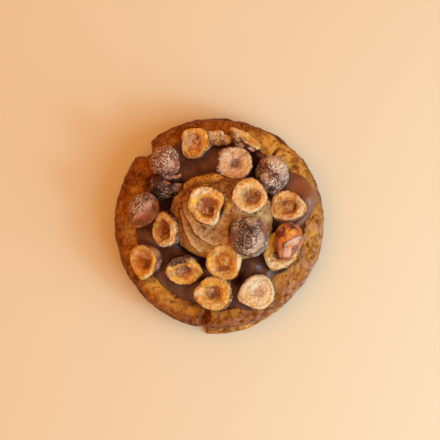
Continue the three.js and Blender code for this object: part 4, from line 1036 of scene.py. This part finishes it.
def praline_rings(count):
    """The scoop's rings, and the numbers that its finish reads."""
    angle = np.arange(count)[None, :] * 360 / count
    elevation = np.concatenate([np.linspace(-24, 20, 26), np.linspace(21, 89, 120)])
    angle, elevation = np.broadcast_arrays(angle, elevation[:, None])
    x, y = spot(angle, np.cos(np.radians(elevation)))
    points = PRALINE_REACH * np.stack([x, y, np.sin(np.radians(elevation))], axis=-1)
    grown = summed(angle, PRALINE_CORNERS, 1) + 0.025 * uneven(*np.moveaxis(points, -1, 0), 8, 3)
    points = points * grown[..., None]
    points[..., 2] = np.maximum(points[..., 2], PRALINE_UNDERSIDE - PRALINE_AT[2])
    points = points + PRALINE_AT
    x, y = points[..., 0], points[..., 1]
    wander = 0.35 * lumps(points, 3.0, 47)
    lift, painted_crease_shade, shade, pale = PRALINE_SWELL + 0 * x, 0 * x, 0 * x, 0 * x
    for line, height in LAYERS:
        inwards, along = beside(x, y, line)
        inwards = inwards + wander
        share = faded(along)
        lift = lift + share * height * step(inwards / 0.8 + 0.5) * np.exp(-np.maximum(inwards, 0) / 5)
        lift = lift - share * 0.4 * bell(inwards + 0.55, 0.4)
        # Painted shade in the groove under each fold's edge and, wider, beside it; a painted highlight
        # along the edge's top.
        painted_crease_shade = np.maximum(painted_crease_shade, share * bell(inwards + 0.35, 0.5))
        shade = np.maximum(shade, share * bell(inwards + 1.5, 1.4))
        pale = np.maximum(pale, share * bell(inwards - 0.9, 0.9))
    across, along = beside(x, y, LIP)
    lift = lift + faded(along) * bell(across + wander, 1.0)
    # The groove inside the lip, with painted shade in it.
    across, along = beside(x, y, LIP_GROOVE)
    share = faded(along) * bell(across + wander, 0.5)
    lift, painted_crease_shade = lift - 0.8 * share, np.maximum(painted_crease_shade, share)
    rough = mound(x, y, *ROUGH_PATCH)
    pits = step((crumb(points, 1.1, 43, 2) - 0.42) / 0.16)
    lift = lift + (0.26 + 0.6 * rough) * crumb(points, 2.2, 41) + 0.16 * crumb(points, 0.9, 45) - 0.4 * pits
    points = points + outward(points) * (lift * step((points[..., 2] - 19) / 2))[..., None]
    points = press(points)
    points[..., 2] = np.maximum(points[..., 2], PRALINE_UNDERSIDE)
    # Toasted where torn; the rest is painted shade, on the left and back sides and wide beside the folds.
    toast_and_shade = 0.95 * rough + 0.55 * step((-9 - x + 0.5 * y) / 8)
    toast_and_shade = toast_and_shade + 0.95 * near(angle, 100, 70) * step((y - 6.5) / 7) + 0.6 * shade
    # Amber syrup; the band along the lip's outer side is a painted highlight.
    amber = mound(x, y, (3.0, 7.4), (5, 5)) + 0.7 * faded(along) * bell(across - 1.6, 0.9)
    amber = amber + 0.3 * step((-4 - y) / 6)
    amber = amber + 0.6 * mound(x, y, (-3.0, 16.6), (50, 7)) * step(0.4 + 1.5 * lumps(points, 2.2, 49))
    return points, dict(painted_crease_shade=painted_crease_shade, pit=pits, toast_and_shade=np.clip(toast_and_shade, 0, 1), amber=np.clip(amber, 0, 0.8),
                        pale=pale)


def press(points):
    """Pushes the scoop's surface down under each nut that lies on it, and up a little beside it."""
    for nut, half in every_nut():
        middle, turn, size = nut_middle(nut), nut_turn(nut, half), nut_reach(nut)
        local = (points - middle) @ turn
        across = np.hypot(local[..., 0] / size[0], local[..., 1] / size[1])
        back = PRESSED_IN - size[2] * np.sqrt(np.clip(1 - across**2, 0, 1))
        bank = bell(across - 1.06, 0.12) * (np.abs(local[..., 2]) < size[2])
        under = (across < 1) & (local[..., 2] > back)
        local[..., 2] = np.where(under, back, local[..., 2] + 0.5 * bank)
        points = local @ turn.T + middle
    return points


# ---------------------------------------------------------------- the hazelnuts


def every_nut():
    """Every nut and the clump, each with whether it is a half."""
    whole = [*WHOLES.values(), SUGAR_CLUMP]
    return [(nut, True) for nut in HALVES.values()] + [(nut, False) for nut in whole]


def nut_middle(nut):
    """The middle of a nut, or of a half's cut face."""
    return np.array([nut["at"][0], nut["at"][1], THICKNESS + nut["at"][2]])


def nut_reach(nut):
    """Half of a nut's length, width and height."""
    return np.array([nut["length"], nut["width"], nut.get("height", nut["width"])]) / 2


def nut_turn(nut, half):
    """The rotation from a nut's own axes to the cookie's, as a matrix."""
    def about(axis, angle):
        return Matrix.Rotation(math.radians(angle), 3, axis)

    if half:
        lean_to, lean, tip = nut["lean_to"], nut["lean"], nut["tip"]
        in_plane = 180 + lean_to - tip if lean > 90 else tip - lean_to
        turn = about("Z", lean_to) @ about("Y", lean) @ about("Z", in_plane)
    else:
        turn = about("Z", nut["tip"]) @ about("Y", -nut["rise"])
    return np.array(turn)


def kernel(way, nut):
    """The kernel's surface in a direction, as in the solids."""
    x, y, z = np.moveaxis(way, -1, 0)
    from_tip = np.arccos(np.clip(x, -1, 1))
    turn = np.arctan2(z, y)
    seen_at = nut["tip"] + np.degrees(np.arctan2(y, x))
    seed = nut["seed"]
    reach = (
        1
        + nut.get("point", POINT) * bell(from_tip, 0.4)
        - BASE_FLATTENING * bell(math.pi - from_tip, 0.6)
        + sum(share * np.hypot(x, y) * near(seen_at, at, BUMP_WIDTH) for at, share in nut.get("bumps", []))
        + 0.025 * np.sin(2 * turn + seed) * np.sin(from_tip)
        + 0.02 * np.sin(3 * from_tip + seed * 1.7)
        + 0.015 * np.sin(5 * turn + 4 * from_tip + seed * 2.3)
    )
    length = 2 + POINT - BASE_FLATTENING
    return np.stack([
        (x * reach - (POINT + BASE_FLATTENING) / 2) * nut["length"] / length,
        y * reach * nut["width"] / 2,
        z * reach * nut.get("height", nut["width"]) / 2,
    ], axis=-1)


def ways(count, elevations):
    """Unit directions: a ring of `count` at each elevation."""
    turn = np.radians(np.arange(count) * 360 / count)[None, :]
    up = np.radians(np.asarray(elevations, float))[:, None]
    ahead, aside = np.cos(up) * np.cos(turn), np.cos(up) * np.sin(turn)
    return np.stack(np.broadcast_arrays(ahead, aside, np.sin(up)), axis=-1)


def sugar_share(way, nut, points):
    """How thick the sugar lies, from 0 to 1, seen from the nut's middle along world directions."""
    total = np.zeros(way.shape[:-1])
    for angle, elevation, spread, amount in nut["sugar"]:
        x, y = spot(angle, math.cos(math.radians(elevation)))
        towards = way @ np.array([x, y, math.sin(math.radians(elevation))])
        edge = math.cos(math.radians(spread))
        total = np.maximum(total, amount * step((towards - edge) / (1 - edge) * 2))
    return np.clip(total * 1.25 + 0.4 * lumps(points, 2.2, nut["seed"]) * (total > 0.02) - 0.15, 0, 1)


def nut_colours(nut, world, hollow, skin, sugar):
    """The colour at each point of a nut, its sugar, and where the sugar is thick."""
    palette = {key: np.array(linear(code)[:3]) for key, code in PALETTE.items()}
    seed, flecks = nut["seed"], nut.get("flecks", 1.0)
    broad, small = lumps(world, 3.2, seed + 31), crumb(world, 1.6, seed + 32)
    fleck = crumb(world, 1.2, seed + 33)
    deep = hollow + 0.25 * small
    cover = palette[nut.get("skin", "burnt")]
    cover = blend(step(0.5 + broad), cover, cover * nut.get("shade", 0.55))
    tint = palette[nut.get("rim", "yellow")]
    # Straw and amber flecks over the flesh stand in for small painted highlights and painted shade.
    for share, colour in (
        (step((broad + 0.1) * 1.5) * 0.38, palette["orange"]),
        (step(deep / 0.4), palette[nut.get("slope", "orange")]),
        (step((deep - 0.5) / 0.4), palette[nut.get("core", "amber")]),
        (0.3 * flecks * step((fleck - 0.12) / 0.35), palette["straw"]),
        (0.25 * flecks * step((-fleck - 0.16) / 0.35), palette["amber"]),
        (skin, cover),
    ):
        tint = blend(share, tint, colour)
    x, y = world[..., 0] - nut["at"][0], world[..., 1] - nut["at"][1]
    thick = np.zeros(x.shape)
    for colour, *place, amount in nut["touches"]:
        share = amount * patch(x, y, place, small)
        shown = share * (1 - 0.4 * skin) if colour == "crystal_and_glint" else share
        tint = blend(shown, tint, palette[colour])
        if colour in BARE:
            sugar, thick = sugar * (1 - 0.8 * share), thick * (1 - share)
        elif colour == "crystal_and_glint":
            sugar, thick = np.maximum(sugar, 0.9 * share * skin), np.maximum(thick, share)
    # More flecks: the palest cream as painted highlights on pale flesh, amber as painted shade.
    pale = (1 - skin) * (1 - hollow) * step(tint[..., 0] / 0.4)
    tint = blend(0.25 * pale * step((fleck - 0.1) / 0.3), tint, palette["painted_light_cream"])
    tint = blend(0.2 * flecks * (1 - skin) * step((-fleck - 0.14) / 0.3), tint, palette["amber"])
    return tint * (1 + (0.22 + 0.06 * skin) * small)[..., None], sugar, thick


def nut_rings(nut, half, turn):
    """A smooth nut's rings; and how far out each point lies on the cut face, which is 1 on the skin."""
    if not half:
        rings = kernel(ways(NUT_STEPS, np.linspace(-POLE, POLE, WHOLE_RINGS)), nut)
        return rings, np.ones(rings.shape[:2])
    back = kernel(ways(NUT_STEPS, np.linspace(-POLE, -3, BACK_RINGS)), nut)
    shares = np.concatenate([[0.985, 0.965, 0.94], np.linspace(0.91, 0.03, FACE_RINGS)])[:, None]
    off = np.array([*nut.get("centre", (0, 0)), 0]) @ turn * (1, 1, 0)
    face = kernel(ways(NUT_STEPS, [0]), nut) * shares[..., None] + off * (1 - shares[..., None] ** 2)
    share = np.concatenate([np.ones(back.shape[:2]), np.broadcast_to(shares, face.shape[:2])])
    return np.concatenate([back, face]), share


def cut_face(nut, share, world):
    """The skin left at the edge of a cut face, its hollow from 0 to 1, and the height of its surface."""
    seed, rough, steep = nut["seed"], nut.get("rough", 1.0), nut.get("steep", 0)
    flake = np.clip(0.07 + 0.09 * lumps(world, 2.4, seed + 2), 0.02, 1)
    around = np.radians(np.arange(NUT_STEPS) * 360 / NUT_STEPS)
    wobble = 1 + 0.05 * np.sin(3 * around + seed) + 0.04 * np.sin(5 * around + 2 * seed)
    opening = (nut["hollow"] + 0.2 - 0.08 * steep) * wobble + 0.05 * lumps(world, 2.0, seed)
    floor = nut["hollow"] * (0.5 + 0.25 * steep)
    inside = step((opening - share) / (opening - floor))
    cavity = 0.45 * crumb(world, 1.7, seed + 3) + 0.2 * crumb(world, 0.8, seed + 4)
    bump = nut.get("bump", 0) * bell(share, 0.22)
    rim = 0.3 * (1 - np.clip((share - 0.9) / 0.1, 0, 1) ** 2)
    rim = rim + 0.3 * bell(share - 0.84, 0.09) * (1 + 0.8 * lumps(world, 2.6, seed + 1))
    chips = step((lumps(world, 2.4, seed + 20) - 0.15) / 0.4) * step((share - 0.74) / 0.16)
    ridged = 0.3 - np.abs(lumps(world, 1.9, seed + 5))
    level = rim + rough * (0.36 * ridged + 0.2 * crumb(world, 1.0, seed + 6)) - 0.7 * chips
    sunk = inside * (nut["depth"] - rough * cavity) - inside * bump * nut["depth"]
    skin = 1 - step((1.0 - share) / flake)
    return skin, inside * (1 - 0.7 * bump), level * step((1 - share) / 0.03) - sunk


def fused_lumps(name, rings, sugar, turn):
    """Swells a nut's rings over the sugar lumps that are fused to it, and sugars them."""
    for angle, distance, height, radius in LUMPS.get(name, []):
        lump = np.array([*spot(angle, distance), height]) @ turn  # its middle in the nut's own axes
        away = rings - lump
        gap = np.linalg.norm(away, axis=-1, keepdims=True)
        swell = step((radius * 1.25 - gap) / radius)
        rings = rings + away / np.maximum(gap, 0.05) * swell * np.maximum(radius - gap, 0) * 0.8
        sugar = np.maximum(sugar, swell[..., 0])
    return rings, sugar


def nut_object(name, nut, half, material):
    """One nut, with its skin, cut face, hollow and sugar crust."""
    seed, rough, glaze = nut["seed"], nut.get("rough", 1.0), nut.get("glaze", 0.0)
    turn, middle = nut_turn(nut, half), nut_middle(nut)
    rings, share = nut_rings(nut, half, turn)
    bottom, top = (kernel(ways(1, [up]), nut)[0, 0] for up in (-90, 90))
    world = rings @ turn.T + middle
    skin, hollow = np.ones(share.shape), np.zeros(share.shape)
    if half:
        cut = slice(BACK_RINGS, None)
        skin[cut], hollow[cut], rings[cut, :, 2] = cut_face(nut, share[cut], world[cut])
        top = rings[-1].mean(axis=0)
    out = outward(rings)
    sugar = sugar_share(out @ turn.T, nut, world) * np.clip(skin + 0.25, 0, 1)
    tint, sugar, thick = nut_colours(nut, world, hollow, skin, sugar)
    around = np.arctan2(rings[..., 2], rings[..., 1])
    wrinkle = 0.1 * np.sin(around * 17 + 3 * lumps(world, 3, seed + 7))
    wrinkle = wrinkle * (1 - np.abs(rings[..., 0]) / nut["length"]) * (1 - glaze)
    lift = skin * (1 - sugar) * rough * (wrinkle + 0.12 * crumb(world, 2.4, seed + 8))
    lift = lift + sugar * (0.22 + 0.26 * rough * crumb(world, 1.3, seed + 9))
    x, y = world[..., 0] - nut["at"][0], world[..., 1] - nut["at"][1]
    for *place, height in nut.get("forms", []):
        lift = lift + height * patch(x, y, place, 0) * step(out @ turn.T @ (0, 0, 1) * 3)
    if half:
        lift = lift * np.where(share > 0.99, 1, step((share - 0.8) / 0.15))
    rings, sugar = fused_lumps(name, rings + out * lift[..., None], sugar, turn)
    rim = 0.45 * bell(share - 0.95, 0.09) * step(tint.mean(axis=-1) * 6) * half
    values = dict(
        tint=tint,
        sugar=sugar,
        flesh=1 - skin,
        strewn=np.clip(np.maximum(sugar, rim), 0, 1),
        dust=nut.get("dust", 0.12) * (1 - skin),
        crust=sugar * nut.get("coat", 1.0) * (1 - 0.4 * thick),
        gloss=np.clip(glaze * skin + nut.get("wet", 0.25) * hollow, 0, 1) * (1 - sugar),
        frost=np.clip(nut.get("frost", 0.5) + 0.5 * lumps(world, 3, seed + 12), 0, 1) + 0.25 * thick,
    )
    rings, bottom, top = (part @ turn.T + middle for part in (rings, bottom, top))
    return ring_object(name, rings, bottom, top, material, values)


# ---------------------------------------------------------------- scattered grains


def scatter_tree(name, material):
    """A Geometry Nodes tree that strews small grains where a named number says."""
    tree = bpy.data.node_groups.new(name, "GeometryNodeTree")
    sockets = dict(Geometry="Geometry", Density="Float", Smallest="Float", Largest="Float", Seed="Int",
                   Where="String")
    for title, kind in sockets.items():
        tree.interface.new_socket(title, in_out="INPUT", socket_type="NodeSocket" + kind)
    tree.interface.new_socket("Geometry", in_out="OUTPUT", socket_type="NodeSocketGeometry")

    def node(kind, inputs, **settings):
        return add_node(tree, kind, inputs, **settings).outputs

    given = node("NodeGroupInput", {})
    where = node("GeometryNodeInputNamedAttribute", {"Name": given["Where"]}, data_type="FLOAT")
    amount = node("ShaderNodeMath", {0: given["Density"], 1: where["Attribute"]}, operation="MULTIPLY")[0]
    strewn = {"Mesh": given["Geometry"], "Density": amount, "Seed": given["Seed"]}
    points = node("GeometryNodeDistributePointsOnFaces", strewn, distribute_method="RANDOM")["Points"]
    grain = node("GeometryNodeMeshIcoSphere", {"Radius": 0.5, "Subdivisions": 1})["Mesh"]
    sizes = {2: given["Smallest"], 3: given["Largest"], "Seed": given["Seed"]}
    size = node("FunctionNodeRandomValue", sizes, data_type="FLOAT")[1]
    stretch = {0: GRAIN_STRETCH[:1] * 3, 1: GRAIN_STRETCH[1:] * 3}
    shape = node("FunctionNodeRandomValue", stretch, data_type="FLOAT_VECTOR")[0]
    scale = node("ShaderNodeVectorMath", {0: shape, "Scale": size}, operation="SCALE")[0]
    spin = node("FunctionNodeRandomValue", {1: (math.tau,) * 3}, data_type="FLOAT_VECTOR")[0]
    placed = {"Points": points, "Instance": grain, "Rotation": spin, "Scale": scale}
    grains = node("GeometryNodeInstanceOnPoints", placed)["Instances"]
    real = node("GeometryNodeRealizeInstances", {0: grains})[0]
    painted = node("GeometryNodeSetMaterial", {"Geometry": real, "Material": material})[0]
    node("NodeGroupOutput", {0: painted})
    return tree


def read(items, key, kind=float, width=1):
    """One property of every item of a mesh, as a flat array."""
    values = np.empty(len(items) * width, kind)
    items.foreach_get(key, values)
    return values


def merged_mesh(name, carriers, where):
    """The meshes of several pieces as one, with one of their named numbers."""
    parts, before = [], 0
    for mesh in (piece.data for piece in carriers):
        parts.append((
            read(mesh.vertices, "co", width=3),
            read(mesh.loops, "vertex_index", np.int32) + before,
            read(mesh.polygons, "loop_total", np.int32),
            read(mesh.attributes[where].data, "value"),
        ))
        before += len(mesh.vertices)
    points, corners, totals, values = (np.concatenate(part) for part in zip(*parts))
    return filled_mesh(name, points, corners, np.cumsum(totals) - totals, {where: values})


def strew(name, carriers, where, density, smallest, largest, seed, material):
    """Grains on several pieces, as one plain piece. Density is grains for a square millimetre."""
    carrier = put(name + "_carrier", merged_mesh(name + "_carrier", carriers, where))
    modifier = carrier.modifiers.new("strew", "NODES")
    modifier.node_group = scatter_tree(name, material)
    inputs = {"Density": density * 1e6, "Smallest": smallest / 1000, "Largest": largest / 1000,
              "Seed": seed, "Where": where}
    for item in modifier.node_group.interface.items_tree:
        if item.in_out == "INPUT" and item.name in inputs:
            modifier[item.identifier] = inputs[item.name]
    bpy.context.view_layer.update()
    graph = bpy.context.evaluated_depsgraph_get()
    mesh = bpy.data.meshes.new_from_object(carrier.evaluated_get(graph))
    carrier.modifiers.remove(modifier)
    bpy.data.objects.remove(carrier)
    mesh.name = name
    piece = put(name, mesh)
    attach(piece, "root")


# ---------------------------------------------------------------- settings


def colour_property(name, code, description):
    """A colour that can be set."""
    return FloatVectorProperty(name=name, description=description, subtype="COLOR", size=3, min=0, max=1,
                               default=linear(code)[:3])


class CookieColours(bpy.types.PropertyGroup):
    """Colours of the cookie and of what lies on it."""

    golden: colour_property("Golden crust", "d8963e", "Colour of the baked top where it is light")
    crust: colour_property("Crust", "8a4408", "Colour of the baked top where it is brown")
    shoulder: colour_property("Shoulder", "743a20", "Darker colour of the baked side")
    chocolate: colour_property("Chocolate", "7c4e3a", "Light colour of the chocolate")
    praline: colour_property("Praline", "bc8e5a", "Usual colour of the praline")
    crusted: colour_property("Crusted skin", "a4684e", "Colour of skin under a thin crust of sugar")
    sugar: colour_property("Sugar crust", "fbe0c8", "Light colour of the sugar crust")
    grain: colour_property("Sugar grains", "ecc4a0", "Usual colour of the loose sugar grains")


class CookieMeshes(bpy.types.PropertyGroup):
    """How finely the pieces are made."""

    base_steps: IntProperty(
        name="Base steps", description="Steps round the baked base", default=620, min=90, max=720)
    pool_steps: IntProperty(
        name="Chocolate steps", description="Steps round the chocolate", default=460, min=72, max=720)
    scoop_steps: IntProperty(
        name="Praline steps", description="Steps round the praline", default=440, min=72, max=720)


class CookieSugar(bpy.types.PropertyGroup):
    """Loose grains."""

    density: FloatProperty(
        name="Sugar density", description="Grains for a square millimetre", default=0.8, min=0, max=10)
    smallest: FloatProperty(
        name="Smallest grain", description="Width of the smallest grain, in mm", default=0.25, min=0.05)
    largest: FloatProperty(
        name="Largest grain", description="Width of the largest grain, in mm", default=0.5, min=0.1)
    crumbs: FloatProperty(
        name="Crumb density", description="Crumbs for a square millimetre", default=0.22, min=0, max=10)
    crumb_width: FloatProperty(
        name="Largest crumb", description="Width of the largest crumb, in mm", default=0.8, min=0.1)
    seed: IntProperty(name="Seed", description="Fixes where the grains fall", default=7)


class CookieStage(bpy.types.PropertyGroup):
    """Floor, light and camera."""

    floor: colour_property("Floor", "eed7b8", "Colour of the floor")
    key_light: colour_property("Key colour", "89c6e0", "Colour of the key light")
    key_power: FloatProperty(
        name="Key light", description="Power of the key light", subtype="POWER", unit="POWER", default=5.8)
    fill_light: colour_property("Fill colour", "ffbe7a", "Colour of the light from all round")
    fill: FloatProperty(
        name="Fill", description="Strength of the light from all round", default=0.55, min=0)
    above: FloatProperty(
        name="Light from above", description="Power of the wide light overhead", subtype="POWER",
        unit="POWER", default=4.8)
    spark: FloatProperty(
        name="Spark", description="Power of the small light for highlights", subtype="POWER",
        unit="POWER", default=1.2)
    lean: FloatProperty(
        name="Lean", description="Degrees that the view leans from straight down", default=4)
    lean_to: FloatProperty(name="Lean to", description="Angle that the view leans towards", default=-62)
    distance: FloatProperty(
        name="Distance", description="From the cookie's rim to the camera", subtype="DISTANCE",
        unit="LENGTH", default=0.682)


# ---------------------------------------------------------------- operators

_finishes = {}


def finish_of(kind):
    """A finish, made once."""
    if kind not in _finishes:
        makers = dict(dough=dough_finish, chocolate=chocolate_finish, praline=praline_finish,
                      nut=nut_finish, grain=grain_finish, crumb=crumb_finish)
        _finishes[kind] = makers[kind](bpy.context.scene.cookie_colours)
    return _finishes[kind]


class COOKIE_OT_base(bpy.types.Operator):
    """Make the baked base"""

    bl_idname = "cookie.base"
    bl_label = "Baked base"

    def execute(self, context):
        rings, values = cookie_rings(context.scene.cookie_meshes.base_steps)
        piece = ring_object("baked_base", rings, (0, 0, 0), (0, 0, WELL_FLOOR), finish_of("dough"), values)
        stand_for(piece, "cookie_base")
        return {"FINISHED"}


class COOKIE_OT_chocolate(bpy.types.Operator):
    """Pour the chocolate"""

    bl_idname = "cookie.chocolate"
    bl_label = "Chocolate"

    def execute(self, context):
        rings, values = pool_rings(context.scene.cookie_meshes.pool_steps)
        bottom, top = (0, 0, POOL_FLOOR), rings[-1].mean(axis=0)
        piece = ring_object("poured_chocolate", rings, bottom, top, finish_of("chocolate"), values)
        stand_for(piece, "chocolate_pool")
        return {"FINISHED"}


class COOKIE_OT_praline(bpy.types.Operator):
    """Set down the praline scoop"""

    bl_idname = "cookie.praline"
    bl_label = "Praline"

    def execute(self, context):
        rings, values = praline_rings(context.scene.cookie_meshes.scoop_steps)
        bottom = (PRALINE_AT[0], PRALINE_AT[1], PRALINE_UNDERSIDE)
        top = rings[-1].mean(axis=0)
        piece = ring_object("folded_praline", rings, bottom, top, finish_of("praline"), values)
        stand_for(piece, "praline_scoop")
        return {"FINISHED"}


class COOKIE_OT_nuts(bpy.types.Operator):
    """Lay out the hazelnuts and the clump of sugar"""

    bl_idname = "cookie.nuts"
    bl_label = "Hazelnuts"

    def execute(self, context):
        material = finish_of("nut")
        for name, nut in HALVES.items():
            stand_for(nut_object(name, nut, True, material), "hazelnut_" + name)
        for name, nut in WHOLES.items():
            stand_for(nut_object(name, nut, False, material), "hazelnut_" + name)
        stand_for(nut_object("clump", SUGAR_CLUMP, False, material), "sugar_clump")
        return {"FINISHED"}


class COOKIE_OT_grains(bpy.types.Operator):
    """Strew the sugar grains and the crumbs"""

    bl_idname = "cookie.grains"
    bl_label = "Sugar and crumbs"

    def execute(self, context):
        given = context.scene.cookie_sugar
        nuts = [bpy.data.objects[name] for name in [*HALVES, *WHOLES, "clump"]]
        strew("sugar_grains", nuts, "strewn", given.density, given.smallest, given.largest, given.seed,
              finish_of("grain"))
        strew("loose_crumbs", [bpy.data.objects["baked_base"]], "crumbly", given.crumbs, given.smallest,
              given.crumb_width, given.seed + 4, finish_of("crumb"))
        return {"FINISHED"}


class COOKIE_OT_stage(bpy.types.Operator):
    """Set the floor, the lights and the camera"""

    bl_idname = "cookie.stage"
    bl_label = "Stage"

    def execute(self, context):
        given = context.scene.cookie_stage
        mesh = bpy.data.meshes.new("floor")
        corners = [(x * FLOOR_REACH, y * FLOOR_REACH, 0) for x, y in ((-1, -1), (1, -1), (1, 1), (-1, 1))]
        mesh.from_pydata(corners, [], [(0, 1, 2, 3)])
        mesh.materials.append(Finish("floor", Specular_IOR_Level=0.1).finish(paint(given.floor), 0.8))
        floor = put("floor", mesh)

        world = bpy.data.worlds.new("studio")
        world.use_nodes = True
        sky = world.node_tree.nodes["Background"]
        sky.inputs["Color"].default_value = paint(given.fill_light)
        sky.inputs["Strength"].default_value = given.fill
        context.scene.world = world

        for name, size, power, colour, (angle, elevation, distance) in (
            ("key", 0.7, given.key_power, given.key_light, KEY_AT),
            ("spark", 0.12, given.spark, given.key_light, KEY_AT),
            ("above", 1.0, given.above, given.fill_light, ABOVE_AT),
        ):
            light = bpy.data.lights.new(name, "AREA")
            light.shape, light.size, light.energy = "DISK", size, power
            light.color = colour
            lamp = put(name, light)
            lamp.visible_glossy = name != "above"
            tilt = math.radians(elevation)
            x, y = spot(angle, distance * math.cos(tilt))
            lamp.location = (x, y, distance * math.sin(tilt))
            lamp.rotation_euler = lamp.location.to_track_quat("Z", "Y").to_euler()

        camera = bpy.data.cameras.new("camera")
        camera.sensor_width = SENSOR
        camera.lens = given.distance * 1000 / PIXEL / PICTURE * SENSOR
        camera.clip_start = 0.05
        view = put("camera", camera)
        lean = math.radians(given.lean)
        back = Vector((*spot(given.lean_to, math.sin(lean)), math.cos(lean)))
        target = (Vector(AIM) - Vector((*MIDDLE, 0))) / 1000
        right = Vector((0, 1, 0)).cross(back).normalized()
        axes = Matrix((right, back.cross(right), back)).transposed().to_4x4()
        view.matrix_world = Matrix.Translation(target + back * given.distance) @ axes
        context.scene.camera = view
        context.scene.view_settings.view_transform = "Standard"
        return {"FINISHED"}


class COOKIE_PT_panel(bpy.types.Panel):
    """The steps that make the cookie"""

    bl_idname = "COOKIE_PT_panel"
    bl_label = "Hazelnut chocolate cookie"
    bl_space_type = "VIEW_3D"
    bl_region_type = "UI"
    bl_category = "Cookie"

    def draw(self, context):
        for operator in OPERATORS:
            self.layout.operator(operator.bl_idname)
        for name, group in GROUPS.items():
            column = self.layout.column()
            for key in group.__annotations__:
                column.prop(getattr(context.scene, name), key)


OPERATORS = (COOKIE_OT_base, COOKIE_OT_chocolate, COOKIE_OT_praline, COOKIE_OT_nuts, COOKIE_OT_grains,
             COOKIE_OT_stage)
GROUPS = dict(cookie_colours=CookieColours, cookie_meshes=CookieMeshes, cookie_sugar=CookieSugar,
              cookie_stage=CookieStage)


def register():
    for name, group in GROUPS.items():
        bpy.utils.register_class(group)
        setattr(bpy.types.Scene, name, PointerProperty(type=group))
    for item in (*OPERATORS, COOKIE_PT_panel):
        bpy.utils.register_class(item)


def unregister():
    for item in (COOKIE_PT_panel, *reversed(OPERATORS)):
        bpy.utils.unregister_class(item)
    for name, group in GROUPS.items():
        delattr(bpy.types.Scene, name)
        bpy.utils.unregister_class(group)


def main():
    register()
    bpy.ops.cookie.base()
    bpy.ops.cookie.chocolate()
    bpy.ops.cookie.praline()
    bpy.ops.cookie.nuts()
    bpy.ops.cookie.grains()
    bpy.ops.cookie.stage()


if __name__ == "__main__":
    main()
